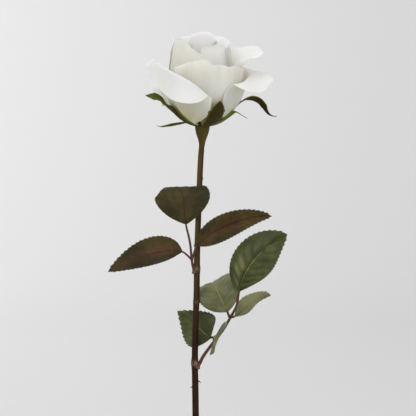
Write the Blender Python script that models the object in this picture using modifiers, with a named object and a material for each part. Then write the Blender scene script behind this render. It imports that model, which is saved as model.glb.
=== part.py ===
"""A white rose with two leaves on a long stem, standing in a plain glazed bud vase.

Metres, +Z up. The origin is the centre of the vase's foot. The flower looks towards -Y.
"""

import math

import bmesh
import bpy
from mathutils import Matrix, Vector

MM = 0.001
GAP = 0.3 * MM

# Vase
VASE_HEIGHT = 170.0 * MM
VASE_FOOT_RADIUS = 29.0 * MM
VASE_BELLY_RADIUS = 40.0 * MM
VASE_BELLY_HEIGHT = 56.0 * MM
VASE_BORE_RADIUS = 8.0 * MM
VASE_NECK_LENGTH = 46.0 * MM
VASE_LIP_FLARE = 4.5 * MM
VASE_WALL = 3.6 * MM
VASE_FLOOR = 6.0 * MM
VASE_STEPS = 36

# Stem: it stands on the vase's floor and leans on the bore at the mouth
STEM_LENGTH_SHOWN = 217.2 * MM
STEM_FOOT_OFFSET = (6.0 * MM, 5.0 * MM)
STEM_MOUTH_X = 2.8 * MM
STEM_FOOT_RADIUS = 2.75 * MM
STEM_TOP_RADIUS = 2.1 * MM
PRICKLE_LENGTH = 2.4 * MM
PRICKLE_RADIUS = 1.1 * MM
PRICKLES = ((205.6, 1), (201.8, -1), (311.0, -1))  # height, and the side of the stem that it points to

# Flower head
HIP_RADIUS = 5.3 * MM
HIP_LENGTH = 16.5 * MM
DOME_HEIGHT = 8.6 * MM
NOD_FORWARD = math.radians(10.0)
NOD_RIGHT = math.radians(1.5)
PETAL_THICKNESS = 0.30 * MM
PETAL_OVERLAP_STEP = PETAL_THICKNESS + GAP
SEPAL_THICKNESS = 0.45 * MM
SEPAL_CLEARANCE = 1.225 * MM
SEPAL_STANDOFF = (PETAL_THICKNESS + SEPAL_THICKNESS) / 2 + SEPAL_CLEARANCE

# Leaves
LEAF_THICKNESS = 0.45 * MM
STALK_RADIUS = 1.1 * MM
STEM_BESIDE_STALK = 1.9
STALK_FOOT_SLACK = 0.25 * MM

# The five rings of petals, centre outwards. Each petal rises from the dome at (share of the hip's radius,
# height in mm). Its midline starts at one angle above the horizontal and turns to a second over the cup.
RINGS = {
    1: {"start": (0.17, 8.9), "angles": (58, 94), "cup": 18},
    2: {"start": (0.377, 7.0), "angles": (44, 95), "cup": 28},
    3: {"start": (0.585, 5.1), "angles": (33, 93), "cup": 37},
    4: {"start": (0.792, 3.1), "angles": (22, 95), "cup": 50},
    5: {"start": (0.981, 1.0), "angles": (13, 86), "cup": 48},
}

# Petals, in mm and degrees. "at" and "half" are azimuths. "round" is how much shorter the sides are and how
# suddenly. "fold" is where the petal folds outwards (start, slope across, curve across), "end" the angle of
# the folded part (middle, slope across). "lean" stands it more open (middle, slope across). "points" lengthen
# and "flicks" lift the rim locally (place across, width, size). "step" is how far it stands outside the
# ring's own line (middle, slope across), in overlap steps.
FOLD_LENGTH = 7.0
PLAIN_PETAL = {
    "round": (0.13, 2.5), "slant": 0.0, "fold": None, "end": (0.0, 0.0), "lean": (0.0, 0.0),
    "fold_length": FOLD_LENGTH, "points": (), "flicks": (), "step": (0.0, 1.0),
}
PETALS = {
    "petal_heart_left": {"ring": 1, "at": -60, "half": 82, "long": 37, "round": (0.10, 2.5)},
    "petal_heart_back": {"ring": 1, "at": 178, "half": 82, "long": 39, "round": (0.10, 2.5)},
    "petal_heart_right": {"ring": 1, "at": 62, "half": 82, "long": 37, "round": (0.10, 2.5)},
    "petal_inner_front": {"ring": 2, "at": 12, "half": 66, "long": 42},
    "petal_inner_right": {"ring": 2, "at": 104, "half": 64, "long": 47},
    "petal_inner_back": {"ring": 2, "at": 190, "half": 64, "long": 49},
    "petal_inner_left": {"ring": 2, "at": -78, "half": 64, "long": 45},
    "petal_middle_left": {
        "ring": 3, "at": -38, "half": 56, "long": 54, "round": (0.14, 2.6), "slant": -3},
    "petal_middle_right": {
        "ring": 3, "at": 46, "half": 54, "long": 63, "round": (0.10, 2.6), "slant": -4},
    "petal_middle_far_right": {
        "ring": 3, "at": 116, "half": 54, "long": 65, "round": (0.14, 2.6), "fold": (55.5, -2, 7), "end": (58, 0)},
    "petal_middle_back": {
        "ring": 3, "at": 188, "half": 54, "long": 68, "round": (0.14, 2.6)},
    "petal_middle_far_left": {
        "ring": 3, "at": -104, "half": 54, "long": 61, "round": (0.14, 2.6)},
    "petal_cup_front": {
        "ring": 4, "at": 15, "half": 62, "long": 61, "round": (0.06, 2.5), "slant": -4, "fold": (57, -5, 0),
        "end": (20, 0), "lean": (-8, -3), "step": (1.4, 0.0), "points": ((-0.33, 0.22, 3.6), (-1.1, 0.5, -8.0))},
    "petal_cup_right": {
        "ring": 4, "at": 100, "half": 48, "long": 72, "round": (0.14, 2.6), "fold": (46, -1, 5), "end": (46, 4),
        "fold_length": 8.0, "lean": (-6, 0)},
    "petal_cup_back_right": {
        "ring": 4, "at": 166, "half": 44, "long": 71, "round": (0.14, 2.6), "fold": (60, 0, 0), "end": (50, 0)},
    "petal_cup_back_left": {
        "ring": 4, "at": 222, "half": 44, "long": 70, "round": (0.14, 2.6), "fold": (63, 0, 0), "end": (60, 0)},
    "petal_cup_left": {
        "ring": 4, "at": -57, "half": 70, "long": 71, "round": (0.11, 2.6), "slant": -3, "lean": (1, -1),
        "step": (-0.17, 0.5), "points": ((0.24, 0.24, 6.0), (0.06, 0.05, 1.5))},
    "petal_guard_left": {
        "ring": 5, "at": -58, "half": 70, "long": 76, "round": (0.66, 2.6), "slant": 11, "fold": (57, -7, -13),
        "end": (-70, 10), "flicks": ((-0.5, 0.07, 50),), "lean": (-3, 3), "points": ((-0.5, 0.08, 8.0),)},
    "petal_guard_right": {
        "ring": 5, "at": 85, "half": 54, "long": 67, "round": (0.42, 2.0), "fold": (47, 4, 0), "end": (-22, 34),
        "lean": (-2, -1), "points": ((0.16, 0.14, 4.0),)},
    "petal_guard_back_right": {
        "ring": 5, "at": 166, "half": 44, "long": 64, "round": (0.35, 2.4), "fold": (47, -8, 0), "end": (-20, 0),
        "lean": (-5, -4)},
    "petal_guard_back_left": {
        "ring": 5, "at": 224, "half": 37, "long": 52, "round": (0.35, 2.4), "fold": (38, -8, 0), "end": (-5, 0),
        "lean": (-10, -6)},
}
CLAW_SHARE = 0.42
SPREAD_SHARE = 0.55
ROOT_BLEND = 3.0

# Sepals: each leaves the bowl at "leaves", turns to the angle "end" over "bend", its tip turns by "tip" at
# the last, and "twist" turns its face sideways; "blunt" is how suddenly it narrows.
PLAIN_SEPAL = {"lean": 0, "tip": 0, "twist": 0, "blunt": 4.0}
SEPAL_TIP_SHARE = 0.16
SEPALS = {
    "sepal_front": {
        "at": 24, "long": 36, "half": 6.0, "leaves": 33, "bend": 9, "end": 60, "blunt": 9.0},
    "sepal_left": {
        "at": -56, "long": 38, "half": 5.4, "leaves": 26, "bend": 9, "end": 4, "lean": -6, "blunt": 6.0},
    "sepal_low_left": {
        "at": -87.5, "long": 29, "half": 1.9, "leaves": 2, "bend": 8, "end": -11, "tip": 42, "twist": 20},
    "sepal_back_left": {
        "at": -113, "long": 48, "half": 3.4, "leaves": 26, "bend": 12, "end": 0, "lean": -20, "twist": 45,
        "blunt": 12.0},
    "sepal_back_right": {
        "at": 108, "long": 66, "half": 3.7, "leaves": 15, "bend": 44, "end": -64, "tip": 80, "twist": 45},
    "sepal_right": {
        "at": 66, "long": 37, "half": 3.2, "leaves": 20, "bend": 9, "end": -22, "twist": 25},
}

# Leaflets: "rib" is the midrib's base, two guide points and tip; "half" the largest half width; "widest" where
# that is, "taper" how pointed the ends are, "right" how wide the right half is beside the left; "folds" how far
# the two halves fold up; "roll" how the blade turns about its rib from base to tip.
PLAIN_LEAFLET = {"widest": 0.85, "taper": 0.85, "right": 1.0, "folds": (8, 8), "roll": (0, 0)}
LEAFLETS = {
    "leaflet_upper_middle": {
        "rib": ((-4.8, -12.6, 327.8), (-7, -23, 345), (-6.5, -29, 368), (-13, 10, 350)), "half": 21.0,
        "widest": 0.80, "taper": 1.02, "right": 0.95, "folds": (-4, -4)},
    "leaflet_upper_left": {
        "rib": ((-7.4, -11.0, 306.8), (-22, -12, 311), (-42, -15, 303), (-63.8, -14, 291.9)), "half": 12.8,
        "widest": 0.82, "folds": (-42, 12)},
    "leaflet_upper_right": {
        "rib": ((2.8, -13.2, 311.2), (14, -16, 322), (36, -16, 335), (60.3, -10, 334.0)), "half": 11.0,
        "folds": (24, 42)},
    "leaflet_lower_end": {
        "rib": ((35.3, -9.0, 274.6), (37, -14, 290), (50, -18, 311), (71.9, -12, 320.5)), "half": 17.0,
        "widest": 1.10, "taper": 0.88, "right": 0.88, "folds": (16, 8)},
    "leaflet_lower_left": {
        "rib": ((27.0, -4.5, 259.6), (21.5, -8, 268), (14, -6, 291), (15.5, 24, 276)), "half": 16.0,
        "widest": 0.95, "taper": 0.75, "right": 1.15, "folds": (5, 5)},
    "leaflet_lower_right": {
        "rib": ((31.4, -12.2, 257.0), (38, -15, 263), (47, -19, 273), (58.8, -23, 275.5)), "half": 8.5,
        "widest": 0.9, "folds": (10, 10), "roll": (62, 62)},
    "leaflet_low_left": {
        "rib": ((14.3, -4.0, 239.6), (10, 3, 240), (1, 6, 251), (-11.5, 2, 258.8)), "half": 15.0,
        "widest": 0.75, "taper": 1.0},
    "leaflet_low_right": {
        "rib": ((16.4, -10.6, 240.0), (18, -18, 245), (18, -27, 244), (17, -35, 237)), "half": 14.0,
        "widest": 0.9, "folds": (10, 10), "roll": (-84, -90)},
}


def clear_scene():
    """Start from an empty file."""
    for existing in list(bpy.data.objects):
        bpy.data.objects.remove(existing)


def collection(name):
    made = bpy.data.collections.new(name)
    bpy.context.scene.collection.children.link(made)
    return made


def material(name, colour, roughness, metallic=0.0):
    made = bpy.data.materials.new(name)
    made.use_nodes = True
    shader = made.node_tree.nodes["Principled BSDF"]
    shader.inputs["Base Color"].default_value = (*colour, 1.0)
    shader.inputs["Roughness"].default_value = roughness
    shader.inputs["Metallic"].default_value = metallic
    made.diffuse_color = (*colour, 1.0)
    return made


def mesh_object(name, vertices, faces, finish, group):
    data = bpy.data.meshes.new(name)
    data.from_pydata([tuple(v) for v in vertices], [], faces)
    data.update()
    data.materials.append(finish)
    data.shade_smooth()
    made = bpy.data.objects.new(name, data)
    group.objects.link(made)
    return made


def sheet_object(name, rows, thickness, finish, group):
    """A closed thin sheet on a grid of points, thickened evenly on both sides."""
    width = len(rows[0])
    vertices = [point for row in rows for point in row]
    faces = []
    for i in range(len(rows) - 1):
        for j in range(width - 1):
            corner = i * width + j
            faces.append((corner, corner + 1, corner + width + 1, corner + width))
    made = mesh_object(name, vertices, faces, finish, group)
    skin = made.modifiers.new("thickness", "SOLIDIFY")
    skin.thickness = thickness
    skin.offset = 0.0
    skin.use_even_offset = False
    return made


def screw_object(name, profile, steps, finish, group):
    """A turned piece. The profile runs down the outer side and closes along the axis."""
    vertices = [Vector((radius, 0.0, height)) for radius, height in profile]
    edges = [(i, i + 1) for i in range(len(vertices) - 1)]
    data = bpy.data.meshes.new(name)
    data.from_pydata(vertices, edges, [])
    data.materials.append(finish)
    made = bpy.data.objects.new(name, data)
    group.objects.link(made)
    turn = made.modifiers.new("turn", "SCREW")
    turn.steps = steps
    turn.render_steps = steps
    turn.use_merge_vertices = True
    turn.merge_threshold = 0.00001
    turn.use_smooth_shade = True
    return made


def smooth_route(points, pieces):
    """Points along a Catmull-Rom curve through the given points."""
    padded = [points[0] * 2 - points[1], *points, points[-1] * 2 - points[-2]]
    route = []
    for i in range(1, len(padded) - 2):
        a, b, c, d = padded[i - 1 : i + 3]
        for k in range(pieces):
            t = k / pieces
            route.append(
                0.5 * (2 * b + (c - a) * t + (2 * a - 5 * b + 4 * c - d) * t**2 + (3 * b - a - 3 * c + d) * t**3)
            )
    route.append(points[-1])
    return route


def tube_object(name, points, radii, finish, group):
    """A round stem through the points, as a mesh with its ends filled."""
    curve = bpy.data.curves.new(name, "CURVE")
    curve.dimensions = "3D"
    curve.bevel_depth = 1.0
    curve.bevel_resolution = 3
    curve.use_fill_caps = True
    line = curve.splines.new("POLY")
    line.points.add(len(points) - 1)
    for spot, point, radius in zip(line.points, points, radii):
        spot.co = (*point, 1.0)
        spot.radius = radius
    guide = bpy.data.objects.new(name + "_route", curve)
    group.objects.link(guide)
    bpy.context.view_layer.update()
    data = bpy.data.meshes.new_from_object(guide.evaluated_get(bpy.context.evaluated_depsgraph_get()))
    data.name = name
    weld = bmesh.new()
    weld.from_mesh(data)
    bmesh.ops.remove_doubles(weld, verts=weld.verts, dist=0.00001)
    weld.to_mesh(data)
    weld.free()
    data.materials.clear()
    data.materials.append(finish)
    data.shade_smooth()
    made = bpy.data.objects.new(name, data)
    made.matrix_world = guide.matrix_world.copy()
    group.objects.link(made)
    bpy.data.objects.remove(guide)
    return made


def join(body, added, cutters):
    """Union another closed shape into a piece."""
    union = body.modifiers.new("join_" + added.name, "BOOLEAN")
    union.operation = "UNION"
    union.solver = "EXACT"
    union.object = added
    for group in list(added.users_collection):
        group.objects.unlink(added)
    cutters.objects.link(added)
    added.hide_render = True
    added.display_type = "WIRE"


def arc(start, end, pieces, centre, radius):
    """Points of a quarter or half turn, for round edges in a turned profile. Angles in degrees."""
    turned = []
    for i in range(pieces + 1):
        angle = math.radians(start + (end - start) * i / pieces)
        turned.append((centre[0] + radius * math.cos(angle), centre[1] + radius * math.sin(angle)))
    return turned


def vase_radius(height):
    """Outer radius of the vase between its foot and the lip's flare."""
    neck = VASE_BORE_RADIUS + VASE_WALL
    shoulder_end = VASE_HEIGHT - VASE_NECK_LENGTH
    if height < VASE_BELLY_HEIGHT:
        share = 1 - height / VASE_BELLY_HEIGHT
        return VASE_BELLY_RADIUS - (VASE_BELLY_RADIUS - VASE_FOOT_RADIUS) * share**2.2
    if height < shoulder_end:
        share = (height - VASE_BELLY_HEIGHT) / (shoulder_end - VASE_BELLY_HEIGHT)
        return neck + (VASE_BELLY_RADIUS - neck) * (0.5 + 0.5 * math.cos(math.pi * share))
    return neck


def build_vase(finish, group):
    """A bottle-shaped bud vase: flat foot, round belly, narrow neck and a softly flared lip."""
    lip = VASE_WALL / 2
    flare_start = VASE_HEIGHT - 4 * VASE_LIP_FLARE
    lip_height = VASE_HEIGHT - lip
    lip_centre = (VASE_BORE_RADIUS + VASE_LIP_FLARE + lip, lip_height)

    def flare(height):
        share = (height - flare_start) / (lip_height - flare_start)
        return VASE_LIP_FLARE * share**2

    outer_heights = [flare_start + (lip_height - flare_start) * i / 4 for i in (3, 2, 1, 0)]
    outer = [(VASE_BORE_RADIUS + VASE_WALL + flare(height), height) for height in outer_heights]
    shoulder_end = VASE_HEIGHT - VASE_NECK_LENGTH
    steps = 7
    for i in range(steps + 1):
        height = shoulder_end - (shoulder_end - VASE_BELLY_HEIGHT) * i / steps
        outer.append((vase_radius(height), height))
    for share in (0.75, 0.5, 0.28, 0.1):
        height = VASE_BELLY_HEIGHT * share
        outer.append((vase_radius(height), height))
    edge = 1.5 * MM
    outer += arc(0, -90, 2, (VASE_FOOT_RADIUS - edge, edge), edge)
    outer.append((0.0, 0.0))

    floor_radius = VASE_FOOT_RADIUS - VASE_WALL
    inner = [(0.0, VASE_FLOOR), (floor_radius - 2 * edge, VASE_FLOOR)]
    inner.append((vase_radius(VASE_FLOOR + 2 * edge) - VASE_WALL, VASE_FLOOR + 2 * edge))
    for share in (0.35, 0.6, 0.8, 1.0):
        height = VASE_BELLY_HEIGHT * share
        inner.append((vase_radius(height) - VASE_WALL, height))
    for i in range(1, steps + 1):
        height = VASE_BELLY_HEIGHT + (shoulder_end - VASE_BELLY_HEIGHT) * i / steps
        inner.append((vase_radius(height) - VASE_WALL, height))
    inner.append((VASE_BORE_RADIUS, flare_start))
    inner += [(VASE_BORE_RADIUS + flare(height), height) for height in outer_heights[2::-1]]
    top = arc(180, 0, 4, lip_centre, lip)
    profile = inner + top + outer
    return screw_object("vase", profile, VASE_STEPS, finish, group)


def mouth_point():
    """Where the stem's centre line crosses the mouth, leaning on the front of the bore."""
    reach = VASE_BORE_RADIUS - STEM_FOOT_RADIUS - 2 * GAP
    return Vector((STEM_MOUTH_X, -math.sqrt(reach**2 - STEM_MOUTH_X**2), VASE_HEIGHT))


def lifted(x, y, z):
    """A point given in millimetres above a 170 mm vase, carried to the mouth of this one."""
    reference = Vector((STEM_MOUTH_X, -4.0 * MM, 170 * MM))
    shown = STEM_LENGTH_SHOWN / (217.2 * MM)
    offset = Vector((x * MM, y * MM, z * MM)) - reference
    return mouth_point() + Vector((offset.x, offset.y, offset.z * shown))


def nod():
    """The flower head's frame: its origin is the top of the hip, its Z the bloom's own axis."""
    turn = Matrix.Rotation(NOD_RIGHT, 4, "Y") @ Matrix.Rotation(NOD_FORWARD, 4, "X")
    top = lifted(7.7, -8.0, 403.6)
    return Matrix.Translation(top) @ turn


def stem_points():
    """The centre line from the vase's floor to the foot of the hip."""
    foot = Vector((*STEM_FOOT_OFFSET, VASE_FLOOR + 2 * GAP))
    mouth = mouth_point()
    shown = [
        lifted(2.4, -4.6, 182), lifted(2.1, -5.8, 205), lifted(1.8, -6.6, 224), lifted(2.4, -7.3, 250),
        lifted(3.2, -7.9, 275), lifted(3.5, -8.1, 300), lifted(4.4, -7.6, 330), lifted(5.4, -6.8, 356),
        lifted(6.3, -5.9, 376),
    ]
    top = nod() @ Vector((0.0, 0.0, -HIP_LENGTH - GAP))
    below = nod() @ Vector((0.0, 0.0, -HIP_LENGTH - 5 * MM))
    inside = [foot.lerp(mouth, share) for share in (0.0, 0.33, 0.66)]
    return inside, smooth_route([mouth, *shown, below, top], 2)


def point_at(points, level):
    """The point of a rising line at a height."""
    for low, high in zip(points, points[1:]):
        if low.z <= level <= high.z:
            return low.lerp(high, (level - low.z) / (high.z - low.z))
    return points[-1]


def build_stem(finish, group, cutters):
    """The long stem, a little thicker at its foot, with three prickles."""
    inside, outside = stem_points()
    points = inside + outside
    count = len(points) - 1
    radii = [STEM_FOOT_RADIUS + (STEM_TOP_RADIUS - STEM_FOOT_RADIUS) * i / count for i in range(count + 1)]
    stem = tube_object("stem", points, radii, finish, group)
    for number, (level, side) in enumerate(PRICKLES):
        at = point_at(outside, lifted(0, 0, level).z)
        prickle = bmesh.new()
        bmesh.ops.create_cone(
            prickle, cap_ends=True, segments=8, radius1=PRICKLE_RADIUS, radius2=0.15 * MM, depth=PRICKLE_LENGTH * 2
        )
        data = bpy.data.meshes.new(f"prickle_{number}")
        prickle.to_mesh(data)
        prickle.free()
        cone = bpy.data.objects.new(f"prickle_{number}", data)
        group.objects.link(cone)
        cone.location = at + Vector((side * STEM_TOP_RADIUS, 0.0, 0.0))
        cone.rotation_euler = (0.0, side * math.radians(80), 0.0)
        join(stem, cone, cutters)
    return stem


def build_hip(finish, group):
    """The swollen hip under the bloom and the dome inside it that the petals rise from."""
    waist = STEM_TOP_RADIUS
    profile = [(0.0, DOME_HEIGHT)]
    for i in range(1, 6):
        share = i / 6
        profile.append((HIP_RADIUS * share, DOME_HEIGHT * (1 - share**1.15)))
    profile += [
        (HIP_RADIUS, 0.0), (HIP_RADIUS, -3.5 * MM), (HIP_RADIUS * 0.86, -HIP_LENGTH * 0.46),
        (HIP_RADIUS * 0.60, -HIP_LENGTH * 0.68), (waist * 1.02, -HIP_LENGTH), (0.0, -HIP_LENGTH),
    ]
    hip = screw_object("hip", profile, 18, finish, group)
    hip.matrix_world = nod()
    return hip


def eased(share):
    share = min(1.0, max(0.0, share))
    return share * share * (3 - 2 * share)


def midline(ring, length, fold=None, end_angle=0.0, lean=0.0, fold_length=FOLD_LENGTH, tip=0.0, samples=40):
    """Points and directions along a petal: (radius, height, angle) in millimetres and radians."""
    spec = RINGS[ring]
    radius, height = spec["start"][0] * HIP_RADIUS / MM, spec["start"][1]
    first, last = (math.radians(a) for a in spec["angles"])
    traced = []
    step = length / samples
    for i in range(samples + 1):
        along = i * step
        share = min(1.0, along / spec["cup"])
        angle = first + (last + math.radians(lean) - first) * (1 - (1 - share) ** 1.25)
        if fold is not None:
            angle += (end_angle - angle) * eased((along - fold) / fold_length)
        last_part = max(0.0, 1 - (1 - i / samples) / SEPAL_TIP_SHARE)
        angle += math.radians(tip) * last_part**1.5
        traced.append((radius, height, angle))
        radius += math.cos(angle) * step
        height += math.sin(angle) * step
    return traced


def along_midline(traced, share):
    spot = min(len(traced) - 1.000001, max(0.0, share * (len(traced) - 1)))
    i = int(spot)
    part = spot - i
    return tuple(a + (b - a) * part for a, b in zip(traced[i], traced[i + 1]))


def bowl_point(radius, height, azimuth):
    """A point in the flower head's frame; azimuth 0 is the front and rises towards +X."""
    return Vector((radius * math.sin(azimuth), -radius * math.cos(azimuth), height)) * MM


def bumps_at(v, bumps):
    """The sum of soft bumps (place, width, size) at a place across a petal."""
    return sum(size * math.exp(-((v - spot) / wide) ** 2) for spot, wide, size in bumps)


def petal_rows(spec, rows=10, columns=9):
    """The grid of a petal: claw to rim, left edge to right edge."""
    spec = {**PLAIN_PETAL, **spec}
    ring = spec["ring"]
    spread_length = RINGS[ring]["cup"] * SPREAD_SHARE
    frame = nod()
    lines = []
    for j in range(columns):
        v = -1 + 2 * j / (columns - 1)
        shorter, power = spec["round"]
        reach = spec["long"] * (1 - shorter * abs(v) ** power) + spec["slant"] * v + bumps_at(v, spec["points"])
        fold = spec["fold"] and spec["fold"][0] + spec["fold"][1] * v + spec["fold"][2] * v * v
        end_angle = math.radians(spec["end"][0] + spec["end"][1] * v + bumps_at(v, spec["flicks"]))
        lean = spec["lean"][0] + spec["lean"][1] * v
        lines.append((v, reach, midline(ring, reach, fold, end_angle, lean, spec["fold_length"])))
    grid = []
    for i in range(rows):
        share = (i / (rows - 1)) ** 1.15
        row = []
        for v, reach, traced in lines:
            radius, height, angle = along_midline(traced, share)
            spread = CLAW_SHARE + (1 - CLAW_SHARE) * eased(share * reach / spread_length)
            turn = math.radians(spec["at"] + spec["half"] * spread * v)
            step = spec["step"][0] + spec["step"][1] * v
            outward = PETAL_OVERLAP_STEP / MM * step * eased(share * reach / ROOT_BLEND)
            radius += outward * math.sin(angle)
            height -= outward * math.cos(angle)
            row.append(frame @ bowl_point(radius, height, turn))
        grid.append(row)
    return grid


def sepal_rows(spec, rows=12, columns=5):
    """A narrow green blade that hugs the bowl and then leaves it."""
    spec = {**PLAIN_SEPAL, **spec}
    frame = nod()
    end_angle = math.radians(spec["end"])
    traced = midline(5, spec["long"], spec["leaves"], end_angle, spec["lean"], spec["bend"], spec["tip"])
    grid = []
    for i in range(rows):
        share = i / (rows - 1)
        radius, height, angle = along_midline(traced, share)
        taper = max(0.12, (1 - share ** spec["blunt"]) * (0.8 + 0.4 * math.sin(math.pi * share)))
        twist = math.radians(spec["twist"]) * eased((share - 0.25) / 0.5)
        row = []
        for j in range(columns):
            v = -1 + 2 * j / (columns - 1)
            aside = spec["half"] * taper * v
            out = SEPAL_STANDOFF / MM + aside * math.sin(twist)
            r = radius + out * math.sin(angle)
            h = height - out * math.cos(angle)
            turn = math.radians(spec["at"]) + aside * math.cos(twist) / max(radius, 14.0)
            row.append(frame @ bowl_point(r, h, turn))
        grid.append(row)
    return grid


def bezier(points, t):
    a, b, c, d = points
    u = 1 - t
    return a * u**3 + b * (3 * u * u * t) + c * (3 * u * t * t) + d * t**3


def leaflet_rows(spec, rows=10, columns=7):
    """A pointed oval blade along a curved midrib, each half folded by its own angle."""
    spec = {**PLAIN_LEAFLET, **spec}
    points = [lifted(*point) for point in spec["rib"]]
    reach = points[2] - points[0]
    across = Vector((reach.z, 0.0, -reach.x))
    grid = []
    for i in range(rows):
        t = i / (rows - 1)
        at = bezier(points, t)
        ahead = (bezier(points, min(1.0, t + 0.01)) - bezier(points, max(0.0, t - 0.01))).normalized()
        side = (across - ahead * across.dot(ahead)).normalized()
        face = side.cross(ahead).normalized()
        roll = math.radians(spec["roll"][0] + (spec["roll"][1] - spec["roll"][0]) * t)
        side, face = side * math.cos(roll) + face * math.sin(roll), face * math.cos(roll) - side * math.sin(roll)
        oval = max(0.0, math.sin(math.pi * min(1.0, t ** spec["widest"]))) ** spec["taper"]
        width = spec["half"] * MM * max(0.045, oval)
        row = []
        for j in range(columns):
            v = -1 + 2 * j / (columns - 1)
            fold = math.radians(spec["folds"][1] if v > 0 else spec["folds"][0])
            out = abs(v) * width * (spec["right"] if v > 0 else 1.0)
            row.append(at + side * math.copysign(out * math.cos(fold), v) + face * out * math.sin(fold))
        grid.append(row)
    return grid


def build_stalk(name, routes, finish, group, cutters):
    """A leaf stalk and the short stalks of its leaflets, joined into one piece."""
    tubes = []
    for number, route in enumerate(routes):
        points = smooth_route([lifted(*point) for point in route], 2)
        taper = [STALK_RADIUS * (1 - 0.35 * i / (len(points) - 1)) for i in range(len(points))]
        tubes.append(tube_object(name if number == 0 else f"{name}_branch_{number}", points, taper, finish, group))
    for branch in tubes[1:]:
        join(tubes[0], branch, cutters)
    return tubes[0]


def build_petals(finish, group):
    for name, spec in PETALS.items():
        sheet_object(name, petal_rows(spec), PETAL_THICKNESS, finish, group)


def build_sepals(finish, group):
    for name, spec in SEPALS.items():
        sheet_object(name, sepal_rows(spec), SEPAL_THICKNESS, finish, group)


def build_leaves(finish, stalk_finish, group, cutters):
    for name, spec in LEAFLETS.items():
        sheet_object(name, leaflet_rows(spec), LEAF_THICKNESS, finish, group)
    foot = STEM_BESIDE_STALK + (STEM_FOOT_RADIUS + GAP + STALK_FOOT_SLACK) / MM
    upper = [
        ((0.2, -10.6, 293.5), (-0.2, -11.2, 299), (-1.8, -11.8, 314), (-4.4, -11.6, 325.5)),
        ((-0.3, -11.2, 301), (-3.2, -11.3, 303.6), (-6.0, -11.1, 306)),
        ((-0.2, -11.2, 300), (0.8, -12.4, 304.6), (2.3, -13.0, 309.6)),
    ]
    lower = [
        ((foot, -6.6, 219.6), (8.2, -7.0, 225.6), (13.8, -7.6, 233.6), (22.9, -8.4, 245.8), (29.0, -8.6, 256.0),
         (33.8, -8.8, 265.2), (34.8, -8.9, 272.0)),
        ((28.6, -8.5, 255.4), (27.6, -6.6, 257.6)),
        ((29.4, -8.7, 256.6), (30.4, -10.6, 256.8)),
    ]
    build_stalk("leaf_stalk_upper", upper, stalk_finish, group, cutters)
    build_stalk("leaf_stalk_lower", lower, stalk_finish, group, cutters)


def main():
    clear_scene()
    group = collection("rose_in_bud_vase")
    cutters = collection("cutters")
    cutters.hide_render = True
    glaze = material("glaze_white", (0.80, 0.79, 0.76), 0.28)
    bark = material("stem_brown_green", (0.060, 0.035, 0.016), 0.55)
    hip_green = material("hip_green", (0.055, 0.048, 0.012), 0.5)
    petal_white = material("petal_white", (0.83, 0.81, 0.74), 0.6)
    sepal_green = material("sepal_green", (0.045, 0.050, 0.012), 0.6)
    leaf_green = material("leaf_green", (0.062, 0.068, 0.020), 0.45)
    stalk_red = material("stalk_red_brown", (0.070, 0.022, 0.012), 0.5)
    build_vase(glaze, group)
    build_stem(bark, group, cutters)
    build_hip(hip_green, group)
    build_petals(petal_white, group)
    build_sepals(sepal_green, group)
    build_leaves(leaf_green, stalk_red, group, cutters)


main()
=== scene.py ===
"""The looks of a white rose in a glazed bud vase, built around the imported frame.

Metres, +Z up, the bloom looks towards -Y. Lengths in the tables below are millimetres.
"""

import math
import random

import bpy
import numpy as np
from bpy.props import FloatProperty, FloatVectorProperty, IntProperty, PointerProperty
from mathutils import Matrix, Vector, noise


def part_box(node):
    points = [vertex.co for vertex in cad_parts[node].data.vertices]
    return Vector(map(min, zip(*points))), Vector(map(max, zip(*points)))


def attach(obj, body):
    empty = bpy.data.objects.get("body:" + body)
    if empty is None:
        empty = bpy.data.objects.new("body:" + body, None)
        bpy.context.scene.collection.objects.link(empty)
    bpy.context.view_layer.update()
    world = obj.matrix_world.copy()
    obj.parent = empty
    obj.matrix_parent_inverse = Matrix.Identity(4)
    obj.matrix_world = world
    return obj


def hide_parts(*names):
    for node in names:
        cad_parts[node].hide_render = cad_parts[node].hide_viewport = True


bl_info = {
    "name": "Rose in a Bud Vase",
    "version": (1, 0, 0),
    "blender": (4, 5, 0),
    "location": "3D View > Sidebar > Rose",
    "description": "Builds a white rose with its leaves in a turned bud vase",
    "category": "Add Mesh",
}

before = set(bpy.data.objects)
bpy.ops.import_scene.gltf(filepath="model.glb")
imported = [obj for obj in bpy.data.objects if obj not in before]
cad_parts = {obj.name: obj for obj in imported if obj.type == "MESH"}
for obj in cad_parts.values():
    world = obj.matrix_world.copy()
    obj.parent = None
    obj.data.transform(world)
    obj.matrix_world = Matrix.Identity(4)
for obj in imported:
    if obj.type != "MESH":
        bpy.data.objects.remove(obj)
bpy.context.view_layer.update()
BODY = "root"
MM = 0.001

# The flower head's own axes: its origin is the top of the hip and its Z the bloom's axis.
HEAD_PLACE = (7.7, -8.0, 403.6)
NOD_FORWARD = math.radians(10.0)
NOD_RIGHT = math.radians(1.5)
HIP_LENGTH = 16.5
DOME_HEIGHT = 8.6

# The stem's centre line, from the vase's floor to the foot of the hip.
STEM_ROUTE = [
    (6.0, 5.0, 6.6), (4.95, 2.0, 60.5), (3.9, -1.0, 114.4), (2.8, -3.75, 170.0), (2.4, -4.6, 182.0),
    (2.1, -5.8, 205.0), (1.8, -6.6, 224.0), (2.4, -7.3, 250.0), (3.2, -7.9, 275.0), (3.5, -8.1, 300.0),
    (4.4, -7.6, 330.0), (5.4, -6.8, 356.0), (6.3, -5.9, 376.0), (7.14, -5.1, 387.3),
]
# height, how much thicker, over what length: old leaf joints and worn rings on the bark
STEM_KNOTS = [
    (220.5, 0.9, 3.2), (268.0, 0.35, 1.6), (293.5, 0.75, 2.6), (311.5, 0.25, 1.4), (343.0, 0.15, 2.0),
]
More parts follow.
